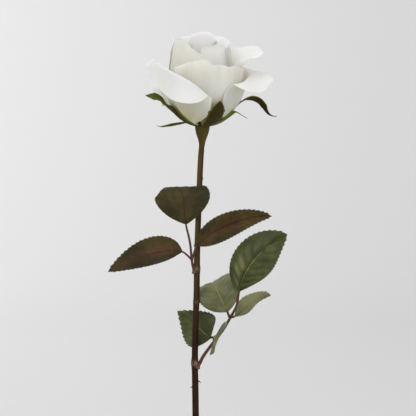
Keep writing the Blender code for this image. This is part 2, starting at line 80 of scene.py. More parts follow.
# height, direction around the stem (0 front, 90 right), length
PRICKLES = [(205.6, 92, 2.6), (201.8, -88, 1.9), (311.2, -80, 1.2), (252.0, 165, 2.6), (336.0, 195, 2.2),
            (362.0, 140, 1.6)]

# Rings of petals, centre outwards: where a petal leaves the dome (radius, height), the angle above the
# horizontal that its midline starts and ends with, and the length over which it turns.
RINGS = {
    1: {"start": (0.9, 8.9), "angles": (58, 94), "cup": 18},
    2: {"start": (2.0, 7.0), "angles": (44, 95), "cup": 28},
    3: {"start": (3.1, 5.1), "angles": (33, 93), "cup": 37},
    4: {"start": (4.2, 3.1), "angles": (22, 95), "cup": 50},
    5: {"start": (5.2, 1.0), "angles": (13, 86), "cup": 48},
}
OUTER_RING = 5
# Rings up to this one make the heart of the bloom. Their petals' outer faces are painted lighter, standing in
# for light in its shaded middle.
LAST_HEART_RING = 3
# A petal's width at its claw, as a share of its full width, and the share of its ring's turn over which
# it widens
CLAW_SHARE = 0.42
SPREAD_SHARE = 0.55
# How far a petal's free edge lies outside the tucked edge of the next, and the length over which that opens
OVERLAP_STEP = 0.60
ROOT_BLEND = 3.0
# Over what share of a petal's half width a rolled rim flattens out
ROLL_SOFT = 0.35
# How soon the rings turn upright: 1 is evenly, more is sooner
CURL_POWER = 1.25

# What a petal has when its own row doesn't say otherwise.
#   round    how much shorter the sides are than the middle, and how suddenly
#   slant    how much longer the right side is than the middle
#   fold     where it folds outwards: start, slope across, curve across
#   end      angle above the horizontal of the folded part: middle, slope across
#   lean     degrees that it stands more open: middle, slope across
#   rolls    rolled rims: degrees, length, from and to across
#   ripple   height of the waves along the rim, their number, and where they start
#   points   longer places along the rim: place across, width, length
#   flicks   places where the fold turns further up: place across, width, degrees
#   step     how many overlap steps it lies outside its ring: middle, slope across
PLAIN_PETAL = {
    "round": (0.13, 2.5), "slant": 0.0, "fold": None, "end": (0.0, 0.0), "lean": (0.0, 0.0),
    "fold_length": 7.0, "rolls": (), "ripple": (0.45, 2.6, 0.0), "points": (), "flicks": (),
    "step": (0.0, 1.0),
}
PETALS = {
    "petal_heart_left": {"ring": 1, "at": -60, "half": 82, "long": 37, "round": (0.10, 2.5)},
    "petal_heart_back": {"ring": 1, "at": 178, "half": 82, "long": 39, "round": (0.10, 2.5)},
    "petal_heart_right": {"ring": 1, "at": 62, "half": 82, "long": 37, "round": (0.10, 2.5)},
    "petal_inner_front": {"ring": 2, "at": 12, "half": 66, "long": 42, "rolls": ((70, 2.0, -0.7, 0.7),)},
    "petal_inner_right": {"ring": 2, "at": 104, "half": 64, "long": 47, "rolls": ((90, 2.2, -0.8, 0.7),)},
    "petal_inner_back": {"ring": 2, "at": 190, "half": 64, "long": 49, "rolls": ((80, 2.2, -0.6, 0.8),)},
    "petal_inner_left": {"ring": 2, "at": -78, "half": 64, "long": 45, "rolls": ((80, 2.0, -0.5, 0.9),)},
    "petal_middle_left": {
        "ring": 3, "at": -38, "half": 56, "long": 54, "round": (0.14, 2.6), "slant": -3,
        "rolls": ((120, 2.6, -0.9, 0.9),)},
    "petal_middle_right": {
        "ring": 3, "at": 46, "half": 54, "long": 63, "round": (0.10, 2.6), "slant": -4,
        "rolls": ((100, 2.2, -0.9, 0.6),)},
    "petal_middle_far_right": {
        "ring": 3, "at": 116, "half": 54, "long": 65, "round": (0.14, 2.6), "fold": (55.5, -2, 7),
        "end": (58, 0),
        "rolls": ((90, 2.6, -0.9, 0.9),)},
    "petal_middle_back": {
        "ring": 3, "at": 188, "half": 54, "long": 68, "round": (0.14, 2.6), "rolls": ((90, 3.0, -0.8, 0.8),)},
    "petal_middle_far_left": {
        "ring": 3, "at": -104, "half": 54, "long": 61, "round": (0.14, 2.6),
        "rolls": ((90, 2.6, -0.8, 0.8),)},
    "petal_cup_front": {
        "ring": 4, "at": 15, "half": 62, "long": 61, "round": (0.06, 2.5), "slant": -4, "fold": (57, -5, 0),
        "end": (20, 0), "lean": (-8, -3), "ripple": (1.0, 4.6, 0.4), "rolls": ((85, 2.4, -0.6, 1.1),),
        "step": (1.4, 0.0), "points": ((-0.33, 0.22, 3.6), (-1.1, 0.5, -8.0))},
    "petal_cup_right": {
        "ring": 4, "at": 100, "half": 48, "long": 72, "round": (0.14, 2.6), "fold": (46, -1, 5),
        "end": (46, 4),
        "fold_length": 8.0, "lean": (-6, 0), "ripple": (1.0, 2.2, 0.2), "rolls": ((75, 7, -0.7, 0.8),)},
    "petal_cup_back_right": {
        "ring": 4, "at": 166, "half": 44, "long": 71, "round": (0.14, 2.6), "fold": (60, 0, 0),
        "end": (50, 0),
        "rolls": ((80, 2.4, -0.8, 0.8),)},
    "petal_cup_back_left": {
        "ring": 4, "at": 222, "half": 44, "long": 70, "round": (0.14, 2.6), "fold": (63, 0, 0),
        "end": (60, 0),
        "rolls": ((80, 2.4, -0.8, 0.8),)},
    "petal_cup_left": {
        "ring": 4, "at": -57, "half": 70, "long": 71, "round": (0.11, 2.6), "slant": -3, "lean": (1, -1),
        "rolls": ((110, 3.0, -0.9, 0.9),), "step": (-0.17, 0.5),
        "points": ((0.24, 0.24, 6.0), (0.06, 0.05, 1.5))},
    "petal_guard_left": {
        "ring": 5, "at": -58, "half": 70, "long": 76, "round": (0.66, 2.6), "slant": 11,
        "fold": (57, -7, -13),
        "end": (-70, 10), "flicks": ((-0.5, 0.07, 50),), "lean": (-3, 3), "ripple": (1.2, 2.4, 0.1),
        "points": ((-0.5, 0.08, 8.0),)},
    "petal_guard_right": {
        "ring": 5, "at": 85, "half": 54, "long": 67, "round": (0.42, 2.0), "fold": (47, 4, 0),
        "end": (-22, 34),
        "lean": (-2, -1), "ripple": (1.2, 2.2, 0.6), "points": ((0.16, 0.14, 4.0),)},
    "petal_guard_back_right": {
        "ring": 5, "at": 166, "half": 44, "long": 64, "round": (0.35, 2.4), "fold": (47, -8, 0),
        "end": (-20, 0),
        "lean": (-5, -4), "ripple": (1.3, 2.4, 0.3)},
    "petal_guard_back_left": {
        "ring": 5, "at": 224, "half": 37, "long": 52, "round": (0.35, 2.4), "fold": (38, -8, 0),
        "end": (-5, 0),
        "lean": (-10, -6), "ripple": (1.1, 2.4, 0.8)},
}

# What a sepal has when its own row doesn't say otherwise: it leaves the bowl at "leaves" and turns to the
# angle "end" over "bend"; its tip turns by "tip" over the last part; "twist" shows its face to the side.
PLAIN_SEPAL = {"lean": 0, "tip": 0, "twist": 0, "tooth": 0.5, "pale": 0.1, "blunt": 4.0}
SEPALS = {
    "sepal_front": {
        "at": 24, "long": 36, "half": 6.0, "leaves": 33, "bend": 9, "end": 60, "tooth": 1.0, "blunt": 9.0},
    "sepal_left": {
        "at": -56, "long": 38, "half": 5.4, "leaves": 26, "bend": 9, "end": 4, "lean": -6, "blunt": 6.0},
    "sepal_low_left": {
        "at": -87.5, "long": 29, "half": 1.9, "leaves": 2, "bend": 8, "end": -11, "tip": 42, "twist": 20,
        "tooth": 0.3,
        "pale": 0.0},
    "sepal_back_left": {
        "at": -113, "long": 48, "half": 3.4, "leaves": 26, "bend": 12, "end": 0, "lean": -20, "twist": 45,
        "pale": 0.7, "blunt": 12.0, "tooth": 0.7},
    "sepal_back_right": {
        "at": 108, "long": 66, "half": 3.7, "leaves": 15, "bend": 44, "end": -64, "tip": 80, "twist": 45,
        "pale": 0.05},
    "sepal_right": {
        "at": 66, "long": 37, "half": 3.2, "leaves": 20, "bend": 9, "end": -22, "twist": 25, "pale": 0.9},
}
# How far a sepal's middle lies outside the guard petals, how much of its length its tip takes and how many
# teeth it has
SEPAL_STANDOFF = 1.6
SEPAL_TIP_SHARE = 0.16
SEPAL_TEETH = 9

# What a leaflet has when its own row doesn't say otherwise.
#   rib      the midrib's base, two guide points and tip
#   half     the largest half width; widest says where along it that is, and taper how pointed the ends are
#   right    how wide the right half is beside the left
#   folds    degrees that the left and right halves fold up
#   roll     how the blade turns about its rib, at its base and at its tip
#   flush    how red it is
#   pale     how silvery, and painted_highlight_left how much painted highlight lies on the left half's pleats
#   quilt    how puffed it is between the side veins
PLAIN_LEAFLET = {
    "widest": 0.85, "taper": 0.85, "right": 1.0, "folds": (8, 8), "roll": (0, 0), "flush": 0.0, "pale": 0.0,
    "painted_highlight_left": 0.0, "quilt": 0.5,
}
LEAFLETS = {
    "leaflet_upper_middle": {
        "rib": ((-4.8, -12.6, 327.8), (-7, -23, 345), (-6.5, -29, 368), (-13, 10, 350)), "half": 21.0,
        "widest": 0.80, "taper": 1.02, "right": 0.95, "folds": (-4, -4), "flush": 0.15},
    "leaflet_upper_left": {
        "rib": ((-7.4, -11.0, 306.8), (-22, -12, 311), (-42, -15, 303), (-63.8, -14, 291.9)), "half": 12.8,
        "widest": 0.82, "folds": (-42, 12), "flush": 1.0, "quilt": 0.5},
    "leaflet_upper_right": {
        "rib": ((2.8, -13.2, 311.2), (14, -16, 322), (36, -16, 335), (60.3, -10, 334.0)), "half": 11.0,
        "folds": (24, 42), "flush": 0.8, "quilt": 0.5},
    "leaflet_lower_end": {
        "rib": ((35.3, -9.0, 274.6), (37, -14, 290), (50, -18, 311), (71.9, -12, 320.5)), "half": 17.0,
        "widest": 1.10, "taper": 0.88, "right": 0.88, "folds": (16, 8), "pale": 0.06, "painted_highlight_left": 0.75,
        "quilt": 1.4},
    "leaflet_lower_left": {
        "rib": ((27.0, -4.5, 259.6), (21.5, -8, 268), (14, -6, 291), (15.5, 24, 276)), "half": 16.0,
        "widest": 0.95, "taper": 0.75, "right": 1.15, "folds": (5, 5), "pale": 0.85, "quilt": 0.6},
    "leaflet_lower_right": {
        "rib": ((31.4, -12.2, 257.0), (38, -15, 263), (47, -19, 273), (58.8, -23, 275.5)), "half": 8.5,
        "widest": 0.9, "folds": (10, 10), "roll": (62, 62), "pale": 1.0, "quilt": 0.3},
    "leaflet_low_left": {
        "rib": ((14.3, -4.0, 239.6), (10, 3, 240), (1, 6, 251), (-11.5, 2, 258.8)), "half": 15.0,
        "widest": 0.75, "taper": 1.0, "pale": 0.22, "quilt": 0.9},
    "leaflet_low_right": {
        "rib": ((16.4, -10.6, 240.0), (18, -18, 245), (18, -27, 244), (17, -35, 237)), "half": 14.0,
        "widest": 0.9, "folds": (10, 10), "roll": (-84, -90), "pale": 0.2, "quilt": 0.5},
}

# How far a side vein runs up towards the blade's edge, and how it bends on the way
VEIN_SWEEP = 0.20
VEIN_BEND = 1.25

# Leaf stalks: each a list of routes, the first the main one
STALKS = {
    "leaf_stalk_upper": [
        [(1.6, -9.6, 290.5), (-0.2, -11.2, 299), (-1.8, -11.8, 314), (-4.4, -11.9, 325.5),
         (-4.8, -12.6, 328.2)],
        [(-0.4, -11.2, 300.5), (-3.2, -11.3, 303.6), (-6.0, -11.1, 306), (-7.8, -11.0, 307.0)],
        [(-0.2, -11.2, 299.5), (0.8, -12.4, 304.6), (2.3, -13.0, 309.6), (3.0, -13.2, 311.6)],
    ],
    "leaf_stalk_lower": [
        [(3.4, -6.4, 217.0), (5.6, -6.8, 220.4), (8.2, -7.0, 225.6), (13.8, -7.6, 233.6), (22.9, -8.4, 245.8),
         (29.0, -8.6, 256.0), (33.8, -8.8, 265.2), (34.8, -8.9, 271.6), (35.4, -9.0, 275.0)],
        [(28.6, -8.5, 255.4), (27.6, -6.4, 257.8), (26.8, -4.4, 259.8)],
        [(29.4, -8.7, 256.6), (30.4, -10.6, 256.8), (31.6, -12.3, 257.2)],
        [(18.6, -8.0, 240.0), (16.2, -6.0, 240.2), (14.2, -4.0, 239.8)],
        [(16.8, -7.9, 237.6), (16.4, -9.4, 239.0), (16.5, -10.8, 240.2)],
    ],
}


STALK_SIDES = 14


def vector(point):
    """A point of the tables above, in metres."""
    return Vector(point) * MM


def head_axes():
    """The flower head's frame as a matrix."""
    turn = Matrix.Rotation(NOD_RIGHT, 4, "Y") @ Matrix.Rotation(NOD_FORWARD, 4, "X")
    return Matrix.Translation(vector(HEAD_PLACE)) @ turn


def eased(share):
    """0 to 1 with a soft start and end, for numbers and arrays."""
    share = np.clip(share, 0.0, 1.0)
    return share * share * (3 - 2 * share)


def window(value, low, high, soft):
    """1 between low and high, with soft shoulders."""
    return eased((value - low) / soft + 0.5) * eased((high - value) / soft + 0.5)


# ---------------------------------------------------------------- mesh tools

def mesh_piece(name, vertices, faces, material, layers=None):
    """A smooth shaded mesh object with named numbers on its vertices."""
    data = bpy.data.meshes.new(name)
    data.from_pydata([tuple(v) for v in vertices], [], [tuple(f) for f in faces])
    data.update()
    for label, values in (layers or {}).items():
        layer = data.attributes.new(label, "FLOAT", "POINT")
        layer.data.foreach_set("value", np.asarray(values, np.float32).ravel())
    data.materials.append(material)
    data.shade_smooth()
    made = bpy.data.objects.new(name, data)
    bpy.context.scene.collection.objects.link(made)
    return made


def grid_normals(grid):
    """Unit normals of a grid of points."""
    along = np.gradient(grid, axis=0)
    across = np.gradient(grid, axis=1)
    normals = np.cross(across, along)
    return normals / np.maximum(np.linalg.norm(normals, axis=2, keepdims=True), 1e-12)


def closed_sheet(name, grid, thickness, material, layers):
    """A thin closed blade on a grid of points, with round edges and its own inner and outer faces.

    The layer "face" is 1 on the side that the grid's normals point to. Layers hold one value per grid point.
    """
    rows, columns = grid.shape[:2]
    normals = grid_normals(grid)
    half = np.broadcast_to(np.asarray(thickness), (rows, columns))[..., None] / 2
    upper = grid + normals * half
    under = grid - normals * half
    ring = [(0, j) for j in range(columns)]
    ring += [(i, columns - 1) for i in range(1, rows)]
    ring += [(rows - 1, j) for j in range(columns - 2, -1, -1)]
    ring += [(i, 0) for i in range(rows - 2, 0, -1)]
    count = rows * columns
    edge = []
    for i, j in ring:
        inside = grid[min(max(i, 1), rows - 2), min(max(j, 1), columns - 2)]
        away = grid[i, j] - inside
        away = away / max(np.linalg.norm(away), 1e-12)
        edge.append(grid[i, j] + away * half[i, j])
    vertices = np.concatenate([upper.reshape(-1, 3), under.reshape(-1, 3), np.array(edge)])
    faces = []
    for i in range(rows - 1):
        for j in range(columns - 1):
            a = i * columns + j
            faces.append((a, a + 1, a + columns + 1, a + columns))
            faces.append((count + a, count + a + columns, count + a + columns + 1, count + a + 1))
    for k, (i, j) in enumerate(ring):
        following = (k + 1) % len(ring)
        n, m = ring[following]
        a, b = i * columns + j, n * columns + m
        c, d = 2 * count + k, 2 * count + following
        faces.append((b, a, c, d))
        faces.append((d, c, count + a, count + b))
    picked = [i * columns + j for i, j in ring]
    full = {}
    for label, values in layers.items():
        flat = np.broadcast_to(values, (rows, columns)).reshape(-1)
        full[label] = np.concatenate([flat, flat, flat[picked]])
    full["face"] = np.concatenate([np.ones(count), np.zeros(count), np.full(len(ring), 0.5)])
    return mesh_piece(name, vertices, faces, material, full)


def smooth_route(points, pieces):
    """Points along a Catmull-Rom curve through the given points."""
    padded = [points[0] * 2 - points[1], *points, points[-1] * 2 - points[-2]]
    route = []
    for i in range(1, len(padded) - 2):
        a, b, c, d = padded[i - 1 : i + 3]
        for k in range(pieces):
            t = k / pieces
            bend, twist = 2 * a - 5 * b + 4 * c - d, 3 * b - a - 3 * c + d
            route.append(0.5 * (2 * b + (c - a) * t + bend * t**2 + twist * t**3))
    route.append(points[-1])
    return route


def tube(points, radii, sides, shape=None):
    """Vertices and faces of a closed round tube. shape(i, angle) scales a radius for knots and grooves."""
    vertices, faces = [], []
    hint = Vector((0.0, -1.0, 0.0))
    for i, point in enumerate(points):
        ahead = (points[min(i + 1, len(points) - 1)] - points[max(i - 1, 0)]).normalized()
        front = (hint - ahead * hint.dot(ahead)).normalized()
        right = ahead.cross(front).normalized() * -1
        for k in range(sides):
            angle = 2 * math.pi * k / sides
            radius = radii[i] * (shape(i, angle) if shape else 1.0)
            vertices.append(point + (front * math.cos(angle) + right * math.sin(angle)) * radius)
    for i in range(len(points) - 1):
        for k in range(sides):
            a, b = i * sides + k, i * sides + (k + 1) % sides
            faces.append((a, a + sides, b + sides, b))
    first, last = len(vertices), len(vertices) + 1
    vertices += [points[0], points[-1]]
    top = (len(points) - 1) * sides
    for k in range(sides):
        following = (k + 1) % sides
        faces.append((first, k, following))
        faces.append((last, top + following, top + k))
    return vertices, faces


def joined(parts):
    """Several (vertices, faces, layers) as one."""
    vertices, faces, layers = [], [], {}
    for points, sides, values in parts:
        start = len(vertices)
        vertices += [Vector(p) for p in points]
        faces += [tuple(index + start for index in face) for face in sides]
        for label, numbers in values.items():
            layers.setdefault(label, []).extend(numbers)
    return vertices, faces, layers


def finish_piece(piece, node):
    """Hang a finished piece on the frame in place of its plain solid."""
    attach(piece, BODY)
    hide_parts(node)
    return piece


# ---------------------------------------------------------------- material tools

# Where a Mix node set to colours keeps its two colours and its result
COLOUR_A, COLOUR_B, COLOUR_OUT = 6, 7, 2


class Finish:
    """A material under construction, with short calls for the nodes that every finish here uses."""

    def __init__(self, name, roughness=0.5, specular=0.5, **constants):
        self.material = bpy.data.materials.new(name)
        self.material.use_nodes = True
        self.tree = self.material.node_tree
        self.shader = self.tree.nodes["Principled BSDF"]
        self.shader.inputs["Roughness"].default_value = roughness
        self.shader.inputs["Specular IOR Level"].default_value = specular
        for socket, value in constants.items():
            self.shader.inputs[socket.replace("_", " ")].default_value = value
        self.place = self.node("ShaderNodeTexCoord").outputs["Object"]

    def node(self, kind, **settings):
        """A new node with its settings."""
        made = self.tree.nodes.new(kind)
        for key, value in settings.items():
            setattr(made, key, value)
        return made

    def feed(self, socket, value):
        """Link an output to a socket, or set the socket to a plain value."""
        if isinstance(value, bpy.types.NodeSocket):
            self.tree.links.new(value, socket)
        elif socket.type == "RGBA":
            socket.default_value = (*value, 1.0)
        else:
            socket.default_value = value

    def layer(self, label):
        """One of the named numbers that the mesh carries."""
        return self.node("ShaderNodeAttribute", attribute_name=label).outputs["Fac"]

    def math(self, operation, a, b=0.0, c=0.0):
        made = self.node("ShaderNodeMath", operation=operation)
        for socket, value in zip(made.inputs, (a, b, c)):
            self.feed(socket, value)
        return made.outputs[0]

    def times(self, first, *others):
        """The product of two or more values."""
        for other in others:
            first = self.math("MULTIPLY", first, other)
        return first

    def combine(self, x, y, z=0.0):
        made = self.node("ShaderNodeCombineXYZ")
        for socket, value in zip(made.inputs, (x, y, z)):
            self.feed(socket, value)
        return made.outputs[0]

    def ramp(self, value, low, high, start=0.0, end=1.0):
        """value between low and high, turned smoothly into start to end."""
        made = self.node("ShaderNodeMapRange", interpolation_type="SMOOTHSTEP")
        for socket, number in zip(made.inputs, (value, low, high, start, end)):
            self.feed(socket, number)
        return made.outputs[0]

    def noise(self, scale, detail=3.0, roughness=0.55, place=None):
        made = self.node("ShaderNodeTexNoise")
        self.feed(made.inputs["Vector"], place or self.place)
        made.inputs["Scale"].default_value = scale
        made.inputs["Detail"].default_value = detail
        made.inputs["Roughness"].default_value = roughness
        return made.outputs["Fac"]

    def cells(self, scale, place=None, feature="DISTANCE_TO_EDGE"):
        made = self.node("ShaderNodeTexVoronoi", feature=feature)
        self.feed(made.inputs["Vector"], place or self.place)
        made.inputs["Scale"].default_value = scale
        return made.outputs["Distance"]

    def mix(self, share, a, b, blend="MIX"):
        made = self.node("ShaderNodeMix", data_type="RGBA", blend_type=blend, clamp_factor=True)
        self.feed(made.inputs["Factor"], share)
        self.feed(made.inputs[COLOUR_A], a)
        self.feed(made.inputs[COLOUR_B], b)
        return made.outputs[COLOUR_OUT]

    def bump(self, height, distance, strength=1.0, below=None):
        made = self.node("ShaderNodeBump")
        made.inputs["Strength"].default_value = strength
        made.inputs["Distance"].default_value = distance
        self.feed(made.inputs["Height"], height)
        if below is not None:
            self.feed(made.inputs["Normal"], below)
        return made.outputs["Normal"]

    def done(self, colour, roughness=None, normal=None):
        """Feed the shader and hand over the material."""
        self.feed(self.shader.inputs["Base Color"], colour)
        if roughness is not None:
            self.feed(self.shader.inputs["Roughness"], roughness)
        if normal is not None:
            self.feed(self.shader.inputs["Normal"], normal)
        return self.material


def petal_finish(bloom):
    """Ivory white skin: green-cream at the claw, faint lengthwise bands, whiter inside and at the rim, with
    painted light on the heart petals' outer faces.
    """
    made = Finish("petal_skin", 0.62, 0.2, Subsurface_Weight=0.6, Subsurface_Scale=0.006, Sheen_Weight=0.05)
    made.shader.inputs["Subsurface Radius"].default_value = (1.0, 0.92, 0.62)
    along, across, seed = made.layer("along"), made.layer("across"), made.layer("seed")
    inner = made.math("SUBTRACT", 1.0, made.layer("face"))
    lengthwise = made.combine(made.times(across, 5.0), made.times(along, 1.2), seed)
    bands = made.noise(1.0, 1.0, 0.4, lengthwise)
    fine = made.combine(made.times(across, 34.0), made.times(along, 9.0), seed)
    streaks = made.noise(1.0, 3.0, 0.6, fine)
    blotch = made.noise(90.0, 3.0)
    outer_tone = made.mix(made.ramp(along, 0.08, 0.70), bloom.claw_colour, bloom.outer_colour)
    outer_tone = made.mix(made.ramp(bands, 0.42, 0.72, 0.0, 0.45), outer_tone, bloom.band_colour)
    inner_tone = made.mix(made.ramp(along, 0.05, 0.45), bloom.band_colour, bloom.inner_colour)
    # Painted light: the heart petals' outer faces are mixed most of the way to the inner colour, brightening
    # the shaded middle of the bloom.
    outer_tone = made.mix(made.times(made.layer("heart"), 0.6), outer_tone, bloom.inner_colour)
    tone = made.mix(inner, outer_tone, inner_tone)
    tone = made.mix(made.ramp(along, 0.90, 1.0, 0.0, 0.6), tone, bloom.inner_colour)
    tone = made.mix(made.ramp(streaks, 0.42, 0.70, 0.0, 0.05), tone, bloom.band_colour, "MULTIPLY")
    tone = made.mix(made.ramp(blotch, 0.45, 0.75, 0.0, 0.10), tone, bloom.band_colour, "MULTIPLY")
    rough = made.ramp(blotch, 0.3, 0.7, 0.52, 0.68)
    skin = made.bump(made.noise(2600.0, 2.0), 0.00004, 0.5)
    normal = made.bump(streaks, 0.00006, 0.4, skin)
    return made.done(tone, rough, normal)


def leaf_finish(leaf, name, dark, light, vein, gloss, specular):
    """Leaf skin: side veins and a net of small ones, pale underside, red flush along the midrib."""
    made = Finish(name, 0.4, specular)
    along, across = made.layer("along"), made.layer("across")
    flush, pale, seed = made.layer("flush"), made.layer("pale"), made.layer("seed")
    aside = made.math("ABSOLUTE", across)
    climb = made.math("SUBTRACT", along, made.times(made.math("POWER", aside, VEIN_BEND), VEIN_SWEEP))
    left_to_right = made.times(across, 0.17)
    phase = made.math("FRACT", made.math("MULTIPLY_ADD", climb, leaf.side_veins, left_to_right))
    off_vein = made.math("ABSOLUTE", made.math("SUBTRACT", phase, 0.5))
    side_vein = made.ramp(off_vein, 0.46, 0.50)
    midrib = made.ramp(aside, 0.018, 0.050, 1.0, 0.0)
    net_place = made.combine(made.times(climb, 26.0), made.times(across, 13.0), seed)
    net = made.ramp(made.cells(1.6, net_place), 0.0, 0.10, 1.0, 0.0)
    cloud = made.noise(55.0, 4.0, 0.6)
    fine_cloud = made.noise(240.0, 3.0, 0.6)
    tone = made.mix(made.ramp(cloud, 0.32, 0.70), dark, light)
    tone = made.mix(made.ramp(fine_cloud, 0.40, 0.70, 0.0, 0.55), tone, dark)
    near_rib = made.ramp(aside, 0.0, 0.75, 1.0, 0.25)
    red = made.times(flush, near_rib, made.ramp(cloud, 0.34, 0.60, 0.40, 1.0))
    tone = made.mix(made.times(red, 0.75), tone, leaf.flush_colour)
    rib_share = made.times(midrib, made.ramp(along, 0.45, 0.75, 0.8, 0.15))
    shows = made.ramp(pale, 0.0, 1.0, 0.35, 1.0)
    near_side = made.times(side_vein, shows, made.ramp(aside, 0.15, 0.8, 0.5, 0.12))
    tone = made.mix(near_side, tone, vein)
    tone = made.mix(made.times(net, 0.16), tone, dark)
    tone = made.mix(rib_share, tone, vein)
    under = made.mix(made.ramp(cloud, 0.3, 0.7), leaf.under_colour, leaf.silver_colour)
    under = made.mix(made.times(made.math("MAXIMUM", side_vein, midrib), 0.6), under, leaf.vein_colour)
    underside = made.math("SUBTRACT", 1.0, made.layer("face"))
    # The pale layer mixes in the underside's silver. That is the blade's real paleness, and also a painted
    # highlight on the left half's pleats where a row gives one.
    tone = made.mix(made.math("MAXIMUM", made.times(underside, 0.8), made.times(pale, 0.7)), tone, under)
    rough = made.ramp(fine_cloud, 0.3, 0.7, gloss - 0.06, gloss + 0.10)
    height = made.math("SUBTRACT", made.times(made.math("MAXIMUM", side_vein, net), -0.6), midrib)
    skin = made.bump(made.noise(1500.0, 2.0), 0.00005, 0.5)
    normal = made.bump(height, 0.00022, 0.55, skin)
    return made.done(tone, rough, normal)


def sepal_finish(bloom):
    """Dark olive outside with lengthwise veins, paler felt inside and along the edges."""
    made = Finish("sepal_skin", 0.7, 0.05)
    along, across, pale = made.layer("along"), made.layer("across"), made.layer("pale")
    inner = made.math("SUBTRACT", 1.0, made.layer("face"))
    place = made.combine(made.times(across, 6.0), made.times(along, 2.5), pale)
    veins = made.noise(2.0, 3.0, 0.6, place)
    cloud = made.noise(160.0, 3.0)
    dark, green, felt = bloom.sepal_dark, bloom.sepal_green, bloom.sepal_felt
    tone = made.mix(made.ramp(cloud, 0.35, 0.7), dark, green)
    tone = made.mix(made.ramp(veins, 0.4, 0.7, 0.0, 0.5), tone, dark)
    edge = made.ramp(made.math("ABSOLUTE", across), 0.72, 1.0, 0.0, 0.75)
    tone = made.mix(edge, tone, felt)
    share = made.math("MAXIMUM", made.times(inner, 0.3), made.times(pale, 0.7))
    tone = made.mix(share, tone, felt)
    normal = made.bump(veins, 0.0003, 0.6, made.bump(made.noise(1800.0, 2.0), 0.00008, 0.6))
    return made.done(tone, made.ramp(cloud, 0.3, 0.7, 0.5, 0.72), normal)


def bark_finish(stem, name, flush_share):
    """Young bark: green on one side, red-brown on the other, streaked, spotted and worn at the knots."""
    made = Finish(name, 0.6, 0.12)
    side, height, knot = made.layer("side"), made.layer("height"), made.layer("knot")
    place = made.node("ShaderNodeMapping")
    made.feed(place.inputs["Vector"], made.place)
    place.inputs["Scale"].default_value = (1.0, 1.0, 0.12)
    grain = made.noise(900.0, 4.0, 0.65, place.outputs[0])
    broad = made.noise(60.0, 3.0, 0.5, place.outputs[0])
    spots = made.ramp(made.cells(420.0, feature="F1"), 0.10, 0.22, 1.0, 0.0)
    reddest = made.math("MULTIPLY_ADD", broad, 0.9, made.times(side, -0.55))
    red_side = made.ramp(reddest, 0.20, 0.85)
    upper = made.mix(made.times(red_side, flush_share), stem.green_colour, stem.red_colour)
    tone = made.mix(made.ramp(height, 0.60, 0.88), stem.brown_colour, upper)
    tone = made.mix(made.ramp(grain, 0.48, 0.75, 0.0, 0.55), tone, stem.dark_colour)
    tone = made.mix(made.times(spots, 0.10), tone, stem.scar_colour)
    tone = made.mix(made.times(knot, made.ramp(grain, 0.35, 0.6, 0.15, 0.85)), tone, stem.scar_colour)
    normal = made.bump(grain, 0.00022, 0.6, made.bump(spots, 0.00012, 0.5))
    return made.done(tone, made.ramp(grain, 0.3, 0.7, 0.50, 0.68), normal)


def stalk_finish(stem):
    """Red-brown skin of the leaf stalks, greener here and there."""
    made = Finish("stalk_skin", 0.45, 0.4)
    cloud = made.noise(90.0, 3.0)
    grain = made.noise(900.0, 3.0)
    tone = made.mix(made.ramp(cloud, 0.45, 0.75, 0.0, 0.6), stem.stalk_colour, stem.green_colour)
    tone = made.mix(made.ramp(grain, 0.5, 0.8, 0.0, 0.5), tone, stem.dark_colour)
    tone = made.mix(made.layer("knot"), tone, stem.scar_colour)
    return made.done(tone, made.ramp(cloud, 0.3, 0.7, 0.38, 0.55), made.bump(grain, 0.0002, 0.5))


def glaze_finish(vase):
    """Satin off-white glaze: faint speckle, thinner and warmer at the lip, bare clay under the foot."""
    made = Finish("vase_glaze", 0.3, 0.5, Coat_Weight=0.25, Coat_Roughness=0.12)
    clay, height = made.layer("clay"), made.layer("height")
    cloud = made.noise(16.0, 3.0, 0.5)
    specks = made.ramp(made.cells(260.0, feature="F1"), 0.09, 0.17, 1.0, 0.0)
    few = made.ramp(made.noise(70.0, 2.0), 0.56, 0.62)
    tone = made.mix(made.ramp(cloud, 0.3, 0.7), vase.glaze_colour, vase.glaze_shade)
    tone = made.mix(made.times(specks, few, 0.55), tone, vase.speck_colour)
    tone = made.mix(made.ramp(height, 0.975, 1.0, 0.0, 0.45), tone, vase.lip_colour)
    grain = made.noise(1400.0, 4.0, 0.7)
    bare = made.mix(made.ramp(grain, 0.35, 0.7), vase.clay_colour, vase.lip_colour)
    tone = made.mix(clay, tone, bare)
    gloss = made.ramp(cloud, 0.3, 0.7, 0.24, 0.34)
    rough = made.math("MAXIMUM", gloss, made.times(clay, 0.85))
    dimple = made.bump(made.noise(420.0, 2.0), 0.00005, 0.35)
    normal = made.bump(made.times(grain, clay), 0.0002, 0.8, dimple)
    return made.done(tone, rough, normal)


def stage_finish(name, colour, roughness):
    """Matte seamless paper with a barely visible tooth."""
    made = Finish(name, roughness, 0.2)
    tooth = made.noise(900.0, 3.0)
    cloud = made.noise(1.2, 2.0)
    tone = made.mix(made.ramp(cloud, 0.3, 0.7, 0.0, 0.04), colour, tuple(c * 0.9 for c in colour))
    return made.done(tone, None, made.bump(tooth, 0.00006, 0.3))


# ---------------------------------------------------------------- petals

def head_points(radius, height, turn):
    """Rows of points around the bloom's axis, from millimetres on the flower head to metres in the room."""
    ones = np.full(len(radius), 1 / MM)
    local = np.stack([radius * np.sin(turn), -radius * np.cos(turn), height, ones], axis=1)
    return (local * MM @ np.array(head_axes()).T)[:, :3]


def sampled(lines, shares):
    """The values of evenly sampled lines at the given shares of their length."""
    steps = np.arange(len(lines[0]))
    return (np.interp(shares * steps[-1], steps, line) for line in lines)


def spread_out(rows, columns):
    """Shares of length and width as two grids of the same shape."""
    shape = (len(rows), len(columns))
    return np.broadcast_to(rows[:, None], shape), np.broadcast_to(columns[None, :], shape)


